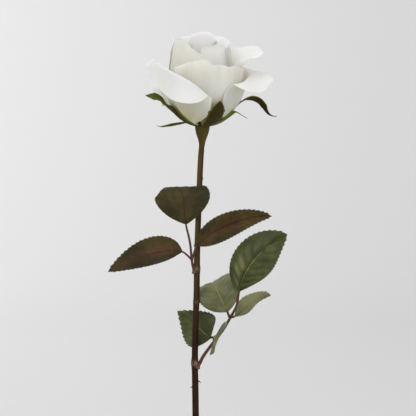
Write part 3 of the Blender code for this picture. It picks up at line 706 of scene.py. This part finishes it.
def midline(ring, reach, fold, end_angle, lean, fold_length, roll, samples=150):
    """Radius, height and angle along a petal's line, as arrays over its length."""
    spec = RINGS[ring]
    along = np.linspace(0.0, reach, samples + 1)
    first, last = (math.radians(a) for a in spec["angles"])
    share = np.minimum(1.0, along / spec["cup"])
    angle = first + (last + math.radians(lean) - first) * (1 - (1 - share) ** CURL_POWER)
    if fold is not None:
        angle += (end_angle - angle) * eased((along - fold) / fold_length)
    for turn, length in roll:
        angle -= math.radians(turn) * np.clip((along - reach + length) / length, 0.0, 1.0) ** 1.5
    step = reach / samples
    radius = spec["start"][0] + np.concatenate([[0.0], np.cumsum(np.cos(angle[:-1]) * step)])
    height = spec["start"][1] + np.concatenate([[0.0], np.cumsum(np.sin(angle[:-1]) * step)])
    return radius, height, angle


def petal_grid(spec, seed, rows=66, columns=57):
    """Points of a petal from claw to rim and left to right, with their place along and across."""
    spec = {**PLAIN_PETAL, **spec}
    spread_length = RINGS[spec["ring"]]["cup"] * SPREAD_SHARE
    draw = random.Random(seed)
    wobble = [(draw.uniform(1.5, 4.5), draw.uniform(0, 6.28), draw.uniform(0.15, 0.4)) for _ in range(3)]
    shares = np.linspace(0.0, 1.0, rows)
    shares = 0.75 * shares + 0.25 * (1 - (1 - shares) ** 2.2)
    shares[-1] = 1.0
    grid = np.zeros((rows, columns, 3))
    quarter = math.pi / 2 * 0.9
    sideways = np.sin(np.linspace(-1.0, 1.0, columns) * quarter) / math.sin(quarter)
    for j, v in enumerate(sideways):
        share_short, power = spec["round"]
        reach = spec["long"] * (1 - share_short * abs(v) ** power) + spec["slant"] * v
        reach += sum(size * math.sin(rate * v + start) for rate, start, size in wobble)
        reach += sum(size * math.exp(-((v - spot) / wide) ** 2) for spot, wide, size in spec["points"])
        fold = end = None
        if spec["fold"] is not None:
            start, slope, curve = spec["fold"]
            fold = start + slope * v + curve * v * v
            flick = sum(turn * math.exp(-((v - spot) / wide) ** 2) for spot, wide, turn in spec["flicks"])
            end = math.radians(spec["end"][0] + spec["end"][1] * v + flick)
        rolls = [(turn * float(window(v, low, high, ROLL_SOFT)), length)
                 for turn, length, low, high in spec["rolls"]]
        lean = spec["lean"][0] + spec["lean"][1] * v
        line = midline(spec["ring"], reach, fold, end, lean, spec["fold_length"], rolls)
        r, h, a = sampled(line, shares)
        spread = CLAW_SHARE + (1 - CLAW_SHARE) * eased(shares * reach / spread_length)
        turn = np.radians(spec["at"] + spec["half"] * spread * v)
        outward = OVERLAP_STEP * (spec["step"][0] + spec["step"][1] * v) * eased(shares * reach / ROOT_BLEND)
        grid[:, j] = head_points(r + outward * np.sin(a), h - outward * np.cos(a), turn)
    u, v = spread_out(shares, sideways)
    normals = grid_normals(grid)
    size, waves, start = spec["ripple"]
    rim = np.clip((u - 0.55) / 0.45, 0.0, 1.0) ** 2.2
    push = size * rim * np.sin(math.pi * waves * v + start * 2 * math.pi + 0.8 * np.sin(3.1 * v + seed))
    grit = np.zeros((rows, columns))
    for i in range(rows):
        for j in range(columns):
            grit[i, j] = noise.noise(Vector((v[i, j] * 3.2, u[i, j] * 3.6, seed * 7.3)))
    push = push + 0.5 * grit * eased((u - 0.12) / 0.4)
    grid = grid + normals * (push * MM)[..., None]
    return grid, u, v


def build_petal(name, spec, bloom, material, seed):
    """A petal that is thickest at its claw and thins towards its rim and sides."""
    grid, u, v = petal_grid(spec, seed)
    thick = bloom.petal_thickness * (1.25 - 0.75 * u) * (1 - 0.35 * np.abs(v) ** 6)
    # The heart layer marks the petals whose outer faces get painted light in the material.
    heart = 1.0 if spec["ring"] <= LAST_HEART_RING else 0.0
    layers = {"along": u, "across": v, "seed": seed, "heart": heart}
    return closed_sheet(name, grid, thick, material, layers)


# ---------------------------------------------------------------- calyx

def sepal_grid(spec, seed, rows=72, columns=19):
    """Points of a sepal from foot to tip, lying against the outer petals until it leaves them."""
    shares = np.linspace(0.0, 1.0, rows)
    tip = (-spec["tip"], spec["long"] * SEPAL_TIP_SHARE)
    end = math.radians(spec["end"])
    line = midline(OUTER_RING, spec["long"], spec["leaves"], end, spec["lean"], spec["bend"], (tip,))
    r, h, a = sampled(line, shares)
    taper = np.maximum(0.08, (1 - shares ** spec["blunt"]) * (0.8 + 0.4 * np.sin(math.pi * shares)))
    teeth = spec["tooth"] * np.maximum(0.0, np.sin(shares * math.pi * SEPAL_TEETH + seed)) ** 2
    teeth = teeth * eased(shares / 0.3) * (1 - eased((shares - 0.8) / 0.2))
    r = r + SEPAL_STANDOFF * np.sin(a)
    h = h - SEPAL_STANDOFF * np.cos(a)
    twist = math.radians(spec["twist"]) * eased((shares - 0.25) / 0.5)
    middle = math.radians(spec["at"])
    grid = np.zeros((rows, columns, 3))
    across = np.linspace(-1.0, 1.0, columns)
    for j, v in enumerate(across):
        aside = (spec["half"] * taper + teeth * abs(v) ** 5) * v
        lift = aside * np.sin(twist) - 0.9 * v * v * taper * spec["half"] / 6.0
        turn = middle + aside * np.cos(twist) / np.maximum(r, 14.0)
        grid[:, j] = head_points(r + lift * np.sin(a), h - lift * np.cos(a), turn)
    return grid, *spread_out(shares, across)


def build_sepal(name, spec, bloom, material, seed):
    """A sepal with a low ridge along its middle."""
    spec = {**PLAIN_SEPAL, **spec}
    grid, u, v = sepal_grid(spec, seed)
    ridge = 0.5 * np.exp(-((v / 0.16) ** 2)) * (1 - u)
    thick = bloom.sepal_thickness * (1.15 - 0.5 * u - 0.25 * np.abs(v) ** 3 + ridge)
    layers = {"along": u, "across": v, "pale": spec["pale"]}
    return closed_sheet(name, grid, thick, material, layers)


# ---------------------------------------------------------------- leaves

def bezier(points, t):
    """The place at share t of a curve with a start, two guide points and an end."""
    a, b, c, d = points
    u = 1 - t
    return a * u**3 + b * (3 * u * u * t) + c * (3 * u * t * t) + d * t**3


def leaflet_grid(spec, leaf, seed, rows=132, columns=35):
    """A pointed oval blade with toothed edges, quilted between its side veins."""
    points = [vector(point) for point in spec["rib"]]
    reach = points[2] - points[0]
    hint = Vector((reach.z, 0.0, -reach.x))
    span = sum((points[i + 1] - points[i]).length for i in range(3))
    teeth = max(9, round(span / leaf.tooth_spacing))
    grid = np.zeros((rows, columns, 3))
    spots = np.linspace(-1.0, 1.0, columns)
    spots = np.sign(spots) * np.abs(spots) ** 1.4
    u = np.linspace(0.0, 1.0, rows)
    for i, t in enumerate(u):
        at = bezier(points, t)
        ahead = (bezier(points, min(1.0, t + 0.01)) - bezier(points, max(0.0, t - 0.01))).normalized()
        side = (hint - ahead * hint.dot(ahead)).normalized()
        face = side.cross(ahead).normalized()
        roll = math.radians(spec["roll"][0] + (spec["roll"][1] - spec["roll"][0]) * t)
        turned = side * math.cos(roll) + face * math.sin(roll)
        side, face = turned, face * math.cos(roll) - side * math.sin(roll)
        oval = max(0.0, math.sin(math.pi * min(1.0, t ** spec["widest"]))) ** spec["taper"]
        width = spec["half"] * MM * max(0.03, oval)
        saw = (t * teeth) % 1.0
        notch = leaf.tooth_depth * (0.35 + 0.65 * saw**0.8) * float(window(t, 0.08, 0.985, 0.08))
        for j, v in enumerate(spots):
            fold = math.radians(spec["folds"][1] if v > 0 else spec["folds"][0])
            share = spec["right"] if v > 0 else 1.0
            out = abs(v) * share * (width - leaf.tooth_depth * 0.5) + notch * max(0.0, (abs(v) - 0.86) / 0.14)
            lag = ahead * (notch * 0.5 * max(0.0, (abs(v) - 0.86) / 0.14))
            vein = math.cos(2 * math.pi * leaf.side_veins * (t - VEIN_SWEEP * abs(v) ** VEIN_BEND))
            puff = spec["quilt"] * 0.55 * MM * (0.5 - 0.5 * vein)
            puff *= math.sin(math.pi * min(1.0, abs(v) * 1.02)) ** 0.7
            wave = 0.8 * MM * v * v * math.sin(9.0 * t + 2.4 * (v > 0) + seed)
            wave += 0.5 * MM * noise.noise(Vector((t * 4, v * 2.5, seed * 3.7))) * min(1.0, width / (6 * MM))
            trough = -0.5 * MM * math.exp(-((v * width / (1.1 * MM)) ** 2))
            grid[i, j] = (
                at + lag + side * math.copysign(out * math.cos(fold), v)
                + face * (out * math.sin(fold) + puff + wave + trough))
    return grid, *spread_out(u, spots)


def build_leaflet(name, spec, leaf, material, seed):
    """A leaflet with a thick midrib, and a painted highlight on the pleats of its left half where its row
    says so.
    """
    spec = {**PLAIN_LEAFLET, **spec}
    grid, u, v = leaflet_grid(spec, leaf, seed)
    half_width = spec["half"] * MM
    rib = np.exp(-((v * half_width / (0.55 * MM)) ** 2)) * (1.0 - 0.75 * u)
    thick = leaf.thickness * (0.9 - 0.35 * np.abs(v) ** 2) + 0.9 * MM * rib
    climb = u - VEIN_SWEEP * np.abs(v) ** VEIN_BEND
    # Painted highlight: where a row asks for it, the left half is made paler along its pleats, standing in
    # for light glinting on them. It rides in the pale layer beside the blade's real paleness.
    pleats = 0.5 - 0.5 * np.cos(2 * np.pi * (leaf.side_veins * climb - 0.25))
    painted_highlight_mask = eased((-v - 0.1) / 0.3) * eased((0.9 + v) / 0.3) * eased((0.95 - u) / 0.5)
    pale = spec["pale"] + spec["painted_highlight_left"] * painted_highlight_mask * (0.15 + 0.85 * pleats)
    layers = {"along": u, "across": v, "flush": spec["flush"], "pale": pale, "seed": seed}
    return closed_sheet(name, grid, thick, material, layers)


def grooved(i, angle):
    """The shallow groove along a leaf stalk's upper side."""
    return 1 - 0.16 * math.exp(-((math.cos(angle / 2)) / 0.25) ** 2)


def build_stalk(name, routes, radius, material):
    """A leaf stalk with a grooved upper side, a swollen joint at its foot and the leaflets' own stalks."""
    parts = []
    for number, route in enumerate(routes):
        main = number == 0
        points = smooth_route([vector(point) for point in route], 8)
        shares = [i / (len(points) - 1) for i in range(len(points))]
        if main:
            joint = [1 + 0.9 * math.exp(-((share / 0.05) ** 2)) for share in shares]
            radii = [radius * (1 - 0.40 * share) * swell for share, swell in zip(shares, joint)]
        else:
            radii = [radius * 0.72 * (1 - 0.15 * share) for share in shares]
        vertices, faces = tube(points, radii, STALK_SIDES, grooved)
        total = len(vertices)
        shares.append(1.0)
        knot = [max(0.0, 0.35 - 3 * shares[i // STALK_SIDES]) if main else 0.0 for i in range(total)]
        parts.append((vertices, faces, {"knot": knot}))
    vertices, faces, layers = joined(parts)
    return mesh_piece(name, vertices, faces, material, layers)


# ---------------------------------------------------------------- settings

def size(name, description, default):
    """A length that a user would change."""
    return FloatProperty(name=name, description=description, unit="LENGTH", default=default)


def power(name, description, default):
    """The strength of a light, which is never below nothing."""
    return FloatProperty(name=name, description=description, default=default, min=0.0)


def tint(name, description, default):
    """A colour that a user would change."""
    return FloatVectorProperty(name=name, description=description, subtype="COLOR", default=default)


class RoseVaseSettings(bpy.types.PropertyGroup):
    """The vase's sizes and glazes."""

    height: size("Height", "Height of the vase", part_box("vase")[1].z)
    belly_radius: size("Belly radius", "Largest radius of the vase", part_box("vase")[1].x)
    foot_radius: size("Foot radius", "Radius of the flat foot", 0.029)
    belly_height: size("Belly height", "Height of the widest place", 0.056)
    bore_radius: size("Bore radius", "Inner radius of the neck", 0.008)
    neck_length: size("Neck length", "Length of the straight neck", 0.046)
    lip_flare: size("Lip flare", "How far the lip flares out", 0.0045)
    wall: size("Wall", "Thickness of the wall", 0.0036)
    floor: size("Floor", "Thickness of the bottom", 0.006)
    glaze_colour: tint("Glaze", "Main colour of the glaze", (0.78, 0.765, 0.73))
    glaze_shade: tint("Glaze shade", "Colour where the glaze is thicker", (0.72, 0.71, 0.68))
    speck_colour: tint("Specks", "Iron specks in the glaze", (0.30, 0.23, 0.16))
    lip_colour: tint("Lip", "Thin glaze at the lip", (0.62, 0.52, 0.40))
    clay_colour: tint("Clay", "Bare clay of the foot", (0.52, 0.42, 0.31))


class RoseStemSettings(bpy.types.PropertyGroup):
    """The stem's sizes and the colours of all the bark."""

    foot_radius: size("Foot radius", "Radius of the stem at its cut end", 0.00275)
    top_radius: size("Top radius", "Radius of the stem under the hip", 0.0021)
    green_colour: tint("Green", "Green side of the bark", (0.078, 0.060, 0.010))
    red_colour: tint("Red-brown", "Sunny side of the bark", (0.060, 0.022, 0.010))
    brown_colour: tint("Brown", "Older bark low on the stem", (0.024, 0.007, 0.004))
    dark_colour: tint("Streaks", "Dark streaks in the bark", (0.012, 0.007, 0.004))
    scar_colour: tint("Scars", "Worn knots and pores", (0.23, 0.15, 0.10))
    stalk_colour: tint("Leaf stalks", "Red of the leaf stalks", (0.070, 0.018, 0.012))


class RoseBloomSettings(bpy.types.PropertyGroup):
    """The sizes and colours of the petals, sepals and hip."""

    petal_thickness: size("Petal thickness", "Thickness at the middle of a petal", 0.00042)
    sepal_thickness: size("Sepal thickness", "Thickness of a sepal", 0.00055)
    hip_radius: size("Hip radius", "Radius of the swollen hip", 0.0053)
    inner_colour: tint("Inside", "Inner face and rim of a petal", (0.94, 0.93, 0.90))
    outer_colour: tint("Outside", "Outer face of a petal", (0.87, 0.85, 0.70))
    band_colour: tint("Bands", "Faint lengthwise bands", (0.84, 0.78, 0.50))
    claw_colour: tint("Claw", "Greenish foot of a petal", (0.52, 0.47, 0.17))
    sepal_dark: tint("Sepal dark", "Darkest part of the calyx", (0.020, 0.012, 0.003))
    sepal_green: tint("Sepal green", "Olive of the calyx", (0.040, 0.027, 0.003))
    sepal_felt: tint("Sepal felt", "Pale edges and inner face", (0.17, 0.19, 0.03))


class RoseLeafSettings(bpy.types.PropertyGroup):
    """The sizes and colours of the leaflets and their stalks."""

    thickness: size("Thickness", "Thickness of a leaf blade", 0.00042)
    tooth_depth: size("Tooth depth", "Depth of the teeth along a blade's edge", 0.0016)
    tooth_spacing: size("Tooth spacing", "Distance between teeth", 0.0030)
    stalk_radius: size("Stalk radius", "Radius of a leaf stalk", 0.0011)
    side_veins: IntProperty(name="Side veins", description="Side veins on each half of a blade", default=8)
    upper_dark: tint("Young dark", "Dark of the upper, younger leaf", (0.022, 0.018, 0.002))
    upper_light: tint("Young light", "Light of the upper, younger leaf", (0.054, 0.046, 0.005))
    lower_dark: tint("Old dark", "Dark of the lower leaf", (0.020, 0.030, 0.002))
    lower_light: tint("Old light", "Light of the lower leaf", (0.068, 0.076, 0.006))
    flush_colour: tint("Flush", "Red-brown flush of young leaves", (0.120, 0.050, 0.022))
    vein_colour: tint("Veins", "Pale veins", (0.24, 0.28, 0.09))
    red_vein_colour: tint("Red veins", "Veins of young leaves", (0.050, 0.010, 0.007))
    under_colour: tint("Underside", "Pale underside", (0.140, 0.140, 0.060))
    silver_colour: tint("Silver", "Silvery bloom on the underside", (0.300, 0.290, 0.150))


class RoseStageSettings(bpy.types.PropertyGroup):
    """The camera, lights and paper."""

    camera_height: FloatProperty(
        name="Camera height angle", description="Angle of the camera above the bloom", subtype="ANGLE",
        default=math.radians(5.5))
    camera_distance: size("Camera distance", "Distance of the camera", 1.5)
    view_height: size("View height", "Height of what the camera frames", 0.3162)
    key_power: power("Key light", "Power of the main soft light, in watts", 17.0)
    top_power: power("Top light", "Power of the light above and behind, in watts", 2.0)
    fill_power: power("Fill light", "Power of the weak light on the right, in watts", 10.0)
    paper_power: power("Paper light", "Power of the light on the paper behind, in watts", 14.0)
    sky_strength: power("Surrounding light", "Strength of the even light all around", 0.62)
    paper_colour: tint("Paper", "Colour of the seamless paper", (0.76, 0.76, 0.76))


# ---------------------------------------------------------------- operators

PRICKLE_RADIUS = 0.0010
PRICKLE_TIP = 0.00006
# The vase's finger rings, its inner corner, and its foot: rounded edge, the glaze's stop above it, standing
# ring and the shallow hollow inside that
FINGER_RING_DEPTH = 0.00012
FINGER_RING_PITCH = 0.0031
FLOOR_CORNER = 0.004
FOOT_EDGE = 0.0015
GLAZE_STOP = 0.0007
FOOT_RING = 0.006
FOOT_HOLLOW = 0.0009


class RoseVase(bpy.types.Operator):
    """Turn the glazed bud vase."""

    bl_idname = "rose.vase"
    bl_label = "Vase"

    def profile(self, vase):
        """Radius, height and bareness: up the inside, over the lip, down the outside and under the foot."""
        neck = vase.bore_radius + vase.wall
        shoulder_end = vase.height - vase.neck_length
        lip = vase.wall / 2
        lip_height = vase.height - lip
        flare_start = vase.height - 4 * vase.lip_flare

        def outer(height):
            if height < vase.belly_height:
                share = 1 - height / vase.belly_height
                return vase.belly_radius - (vase.belly_radius - vase.foot_radius) * share**2.2
            if height < shoulder_end:
                share = (height - vase.belly_height) / (shoulder_end - vase.belly_height)
                return neck + (vase.belly_radius - neck) * (0.5 + 0.5 * math.cos(math.pi * share))
            return neck + vase.lip_flare * max(0.0, (height - flare_start) / (lip_height - flare_start)) ** 2

        def thrown(height):
            """Faint rings left by the potter's fingers."""
            rings = math.sin(2 * math.pi * height / FINGER_RING_PITCH)
            return FINGER_RING_DEPTH * rings * math.sin(height * 37)

        rows = [(0.0, vase.floor, 0.0), (vase.foot_radius - vase.wall - FLOOR_CORNER, vase.floor, 0.0)]
        for h in np.linspace(vase.floor + FLOOR_CORNER * 0.625, lip_height, 120):
            rows.append((outer(h) - vase.wall, h, 0.0))
        rim = vase.bore_radius + vase.lip_flare + lip
        for k in range(1, 12):
            angle = math.radians(180 - 15 * k)
            rows.append((rim + lip * math.cos(angle), lip_height + lip * math.sin(angle), 0.0))
        for h in np.linspace(lip_height, FOOT_EDGE + GLAZE_STOP, 150):
            rows.append((outer(h) + thrown(h), h, 0.0))
        for k in range(7):
            angle = math.radians(-15 * k)
            across, up = FOOT_EDGE * math.cos(angle), FOOT_EDGE * math.sin(angle)
            rows.append((vase.foot_radius - FOOT_EDGE + across, FOOT_EDGE + up, min(1.0, k / 3)))
        hollow = vase.foot_radius - FOOT_RING
        return rows + [(hollow, 0.0, 1.0), (hollow - 0.0012, FOOT_HOLLOW, 1.0), (0.0, FOOT_HOLLOW, 1.0)]

    def execute(self, context):
        vase = context.scene.rose_vase
        steps = 144
        vertices, faces, clay, height, index = [], [], [], [], []
        for radius, level, bare in self.profile(vase):
            start = len(vertices)
            if radius == 0.0:
                index.append([start] * steps)
                vertices.append((0.0, 0.0, level))
            else:
                index.append(list(range(start, start + steps)))
                angles = [2 * math.pi * k / steps for k in range(steps)]
                vertices += [(radius * math.cos(angle), radius * math.sin(angle), level) for angle in angles]
            clay += [bare] * (len(vertices) - start)
            height += [level / vase.height] * (len(vertices) - start)
        for low, high in zip(index, index[1:]):
            for k in range(steps):
                following = (k + 1) % steps
                corners = [low[k], high[k], high[following], low[following]]
                corners = [c for n, c in enumerate(corners) if c not in corners[:n]]
                faces.append(tuple(reversed(corners)))
        piece = mesh_piece("vase_body", vertices, faces, glaze_finish(vase), {"clay": clay, "height": height})
        finish_piece(piece, "vase")
        return {"FINISHED"}


class RoseStem(bpy.types.Operator):
    """Grow the long stem with its prickles and worn knots."""

    bl_idname = "rose.stem"
    bl_label = "Stem"

    def execute(self, context):
        stem = context.scene.rose_stem
        points = smooth_route([vector(point) for point in STEM_ROUTE], 26)
        count = len(points) - 1
        top = points[-1].z

        def shape(i, angle):
            level = points[i].z / MM
            swell = sum(high * math.exp(-((level - spot) / long) ** 2) for spot, high, long in STEM_KNOTS)
            ribs = 0.035 * noise.noise(Vector((math.cos(angle) * 1.6, math.sin(angle) * 1.6, level * 0.05)))
            return 1 + 0.25 * swell + ribs

        narrowing = stem.top_radius - stem.foot_radius
        radii = [stem.foot_radius + narrowing * i / count for i in range(count + 1)]
        sides = 28
        vertices, faces = tube(points, radii, sides, shape)
        side, height, knot = [], [], []
        for number, vertex in enumerate(vertices):
            level = vertex.z / MM
            side.append(math.sin(2 * math.pi * (number % sides) / sides))
            height.append(vertex.z / top)
            worn = [high * math.exp(-((level - spot) / (long * 0.6)) ** 2) for spot, high, long in STEM_KNOTS]
            knot.append(min(1.0, 1.3 * sum(worn)))
        parts = [(vertices, faces, {"side": side, "height": height, "knot": knot})]
        for level, direction, length in PRICKLES:
            parts.append(self.prickle(points, radii, level * MM, math.radians(direction), length * MM, top))
        vertices, faces, layers = joined(parts)
        piece = mesh_piece("stem_bark", vertices, faces, bark_finish(stem, "bark", 1.0), layers)
        finish_piece(piece, "stem")
        return {"FINISHED"}

    def prickle(self, points, radii, level, direction, length, top):
        """A hook that bends down at its tip."""
        nearest = min(range(len(points)), key=lambda i: abs(points[i].z - level))
        away = Vector((math.sin(direction), -math.cos(direction), 0.0))
        start = points[nearest] + away * radii[nearest] * 0.6
        route, sizes = [], []
        for share in np.linspace(0.0, 1.0, 9):
            rise = 0.25 * length * (1 - share) - 0.55 * length * share**2
            route.append(start + away * (length + radii[nearest] * 0.4) * share + Vector((0.0, 0.0, rise)))
            foot = 2.2 if share < 0.1 else 1.0
            sizes.append(max(PRICKLE_TIP, PRICKLE_RADIUS * (1 - share) ** 1.3 * foot))
        vertices, faces = tube(route, sizes, 12)
        total = len(vertices)
        layers = {"side": [-1.0] * total, "height": [level / top] * total, "knot": [0.25] * total}
        return vertices, faces, layers


class RoseHip(bpy.types.Operator):
    """Turn the swollen hip and the dome that the petals rise from."""

    bl_idname = "rose.hip"
    bl_label = "Hip"

    def execute(self, context):
        bloom, stem = context.scene.rose_bloom, context.scene.rose_stem
        radius, waist = bloom.hip_radius, stem.top_radius
        outline = [
            (0.0, DOME_HEIGHT), (0.25, DOME_HEIGHT * 0.80), (0.5, DOME_HEIGHT * 0.56),
            (0.75, DOME_HEIGHT * 0.30), (0.97, 0.6), (1.06, -0.8), (1.04, -2.6), (0.97, -5.0), (0.84, -7.6),
            (0.66, -10.4), (0.50, -13.2), (waist / radius * 1.04, -HIP_LENGTH),
            (waist / radius, -HIP_LENGTH - 0.6),
        ]
        route = smooth_route([Vector((share * radius, level * MM, 0.0)) for share, level in outline], 6)
        axes = head_axes()
        steps = 48
        vertices, faces, side, height = [], [], [], []
        for point in route:
            for k in range(steps):
                angle = 2 * math.pi * k / steps
                ribs = 1 + 0.02 * math.cos(5 * angle) + 0.02 * noise.noise(
                    Vector((math.cos(angle) * 2, math.sin(angle) * 2, point.y * 300)))
                spread = max(point.x, 1e-6) * ribs
                vertices.append(axes @ Vector((spread * math.sin(angle), -spread * math.cos(angle), point.y)))
                side.append(math.sin(angle))
                height.append(1.0)
        for i in range(len(route) - 1):
            for k in range(steps):
                a, b = i * steps + k, i * steps + (k + 1) % steps
                faces.append((a, a + steps, b + steps, b))
        last = (len(route) - 1) * steps
        faces.append(tuple(range(last, last + steps)))
        faces.append(tuple(reversed(range(steps))))
        layers = {"side": side, "height": height, "knot": [0.0] * len(vertices)}
        piece = mesh_piece("hip_swelling", vertices, faces, bark_finish(stem, "hip_skin", 0.35), layers)
        finish_piece(piece, "hip")
        return {"FINISHED"}


class RosePetals(bpy.types.Operator):
    """Shape the petals, ring by ring."""

    bl_idname = "rose.petals"
    bl_label = "Petals"

    def execute(self, context):
        bloom = context.scene.rose_bloom
        skin = petal_finish(bloom)
        for seed, (name, spec) in enumerate(PETALS.items()):
            piece = build_petal(name + "_skin", spec, bloom, skin, seed)
            finish_piece(piece, name)
        return {"FINISHED"}


class RoseSepals(bpy.types.Operator):
    """Shape the sepals under the bloom."""

    bl_idname = "rose.sepals"
    bl_label = "Sepals"

    def execute(self, context):
        bloom = context.scene.rose_bloom
        skin = sepal_finish(bloom)
        for seed, (name, spec) in enumerate(SEPALS.items()):
            piece = build_sepal(name + "_blade", spec, bloom, skin, seed)
            finish_piece(piece, name)
        return {"FINISHED"}


class RoseLeaves(bpy.types.Operator):
    """Shape both compound leaves with their stalks."""

    bl_idname = "rose.leaves"
    bl_label = "Leaves"

    def execute(self, context):
        leaf, stem = context.scene.rose_leaf, context.scene.rose_stem
        upper = leaf_finish(leaf, "young_leaf_skin", leaf.upper_dark, leaf.upper_light, leaf.red_vein_colour,
                            gloss=0.50, specular=0.25)
        lower = leaf_finish(leaf, "old_leaf_skin", leaf.lower_dark, leaf.lower_light, leaf.vein_colour,
                            gloss=0.38, specular=0.35)
        for seed, (name, spec) in enumerate(LEAFLETS.items()):
            young = "upper" in name
            piece = build_leaflet(name + "_blade", spec, leaf, upper if young else lower, seed)
            finish_piece(piece, name)
        bark = stalk_finish(stem)
        for name, routes in STALKS.items():
            radius = leaf.stalk_radius * (1.0 if "upper" in name else 1.3)
            finish_piece(build_stalk(name + "_bark", routes, radius, bark), name)
        return {"FINISHED"}


# The paper's front edge, where it starts to sweep up and how roundly, its top edge and half its width
PAPER_FRONT = -3.0
SWEEP_START = 1.6
SWEEP_RADIUS = 0.9
PAPER_TOP = 4.0
PAPER_SIDE = 4.0
BLOOM_MIDDLE = (0.0, 0.0, 0.42)
CAMERA_AIM = (0.0119, -0.008, 0.340)
SENSOR_WIDTH = 36.0


class RoseStage(bpy.types.Operator):
    """Set up the seamless paper, the soft lights and the camera."""

    bl_idname = "rose.stage"
    bl_label = "Stage"

    def execute(self, context):
        stage = context.scene.rose_stage
        self.paper(stage)
        self.lights(context, stage)
        self.camera(context, stage)
        return {"FINISHED"}

    def paper(self, stage):
        """A sheet that lies on the floor and sweeps up behind the object."""
        profile = [(PAPER_FRONT, 0.0), (SWEEP_START, 0.0)]
        for k in range(1, 13):
            angle = math.radians(7.5 * k)
            back, up = SWEEP_RADIUS * math.sin(angle), SWEEP_RADIUS * (1 - math.cos(angle))
            profile.append((SWEEP_START + back, up))
        profile.append((SWEEP_START + SWEEP_RADIUS, PAPER_TOP))
        vertices, faces = [], []
        for x in (-PAPER_SIDE, PAPER_SIDE):
            vertices += [(x, y, z) for y, z in profile]
        count = len(profile)
        for i in range(count - 1):
            faces.append((i, i + count, i + count + 1, i + 1))
        floor = mesh_piece("seamless_paper", vertices, faces, stage_finish("paper", stage.paper_colour, 0.9))

    def lights(self, context, stage):
        lamps = (
            ("key", (-0.7, -1.7, 1.55), BLOOM_MIDDLE, 1.2, stage.key_power),
            ("top", (0.1, -0.25, 1.40), BLOOM_MIDDLE, 0.8, stage.top_power),
            ("fill", (1.8, -1.6, 0.8), (0.0, 0.0, 0.36), 1.6, stage.fill_power),
            ("paper", (-1.5, 1.2, 1.30), (-0.5, 2.5, 0.4), 1.0, stage.paper_power),
        )
        for name, place, aim, size, power in lamps:
            lamp = bpy.data.lights.new(name, "AREA")
            lamp.shape = "SQUARE"
            lamp.size = size
            lamp.energy = power
            made = bpy.data.objects.new(name, lamp)
            made.location = place
            made.rotation_euler = (Vector(aim) - Vector(place)).to_track_quat("-Z", "Y").to_euler()
            context.scene.collection.objects.link(made)
        world = bpy.data.worlds.new("studio")
        world.use_nodes = True
        background = world.node_tree.nodes["Background"]
        background.inputs["Color"].default_value = (1.0, 1.0, 1.0, 1.0)
        background.inputs["Strength"].default_value = stage.sky_strength
        context.scene.world = world
        context.scene.view_settings.view_transform = "Standard"
        context.scene.view_settings.look = "None"

    def camera(self, context, stage):
        target = Vector(CAMERA_AIM)
        angle = stage.camera_height
        away = Vector((0.0, -math.cos(angle), math.sin(angle)))
        lens = bpy.data.cameras.new("camera")
        lens.sensor_width = SENSOR_WIDTH
        lens.lens = SENSOR_WIDTH * stage.camera_distance / stage.view_height
        made = bpy.data.objects.new("camera", lens)
        made.location = target + away * stage.camera_distance
        made.rotation_euler = (target - made.location).to_track_quat("-Z", "Y").to_euler()
        context.scene.collection.objects.link(made)
        context.scene.camera = made


class RosePanel(bpy.types.Panel):
    """Sizes, colours and steps of the rose."""

    bl_idname = "VIEW3D_PT_rose"
    bl_label = "Rose in a Bud Vase"
    bl_space_type = "VIEW_3D"
    bl_region_type = "UI"
    bl_category = "Rose"

    def draw(self, context):
        for group, _, operators in STEPS:
            box = self.layout.box()
            settings = getattr(context.scene, group)
            for name in settings.__annotations__:
                box.prop(settings, name)
            for operator in operators:
                box.operator(operator.bl_idname)


STEPS = (
    ("rose_stage", RoseStageSettings, (RoseStage,)),
    ("rose_vase", RoseVaseSettings, (RoseVase,)),
    ("rose_stem", RoseStemSettings, (RoseStem,)),
    ("rose_bloom", RoseBloomSettings, (RoseHip, RosePetals, RoseSepals)),
    ("rose_leaf", RoseLeafSettings, (RoseLeaves,)),
)


def register():
    for group, settings, operators in STEPS:
        for kind in (settings, *operators):
            bpy.utils.register_class(kind)
        setattr(bpy.types.Scene, group, PointerProperty(type=settings))
    bpy.utils.register_class(RosePanel)


def unregister():
    bpy.utils.unregister_class(RosePanel)
    for group, settings, operators in reversed(STEPS):
        delattr(bpy.types.Scene, group)
        for kind in (*operators, settings):
            bpy.utils.unregister_class(kind)


def write_sizes():
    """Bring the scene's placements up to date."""
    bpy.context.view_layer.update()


def main():
    register()
    bpy.ops.rose.stage()
    bpy.ops.rose.vase()
    bpy.ops.rose.stem()
    bpy.ops.rose.hip()
    bpy.ops.rose.petals()
    bpy.ops.rose.sepals()
    bpy.ops.rose.leaves()
    write_sizes()


if __name__ == "__main__":
    main()
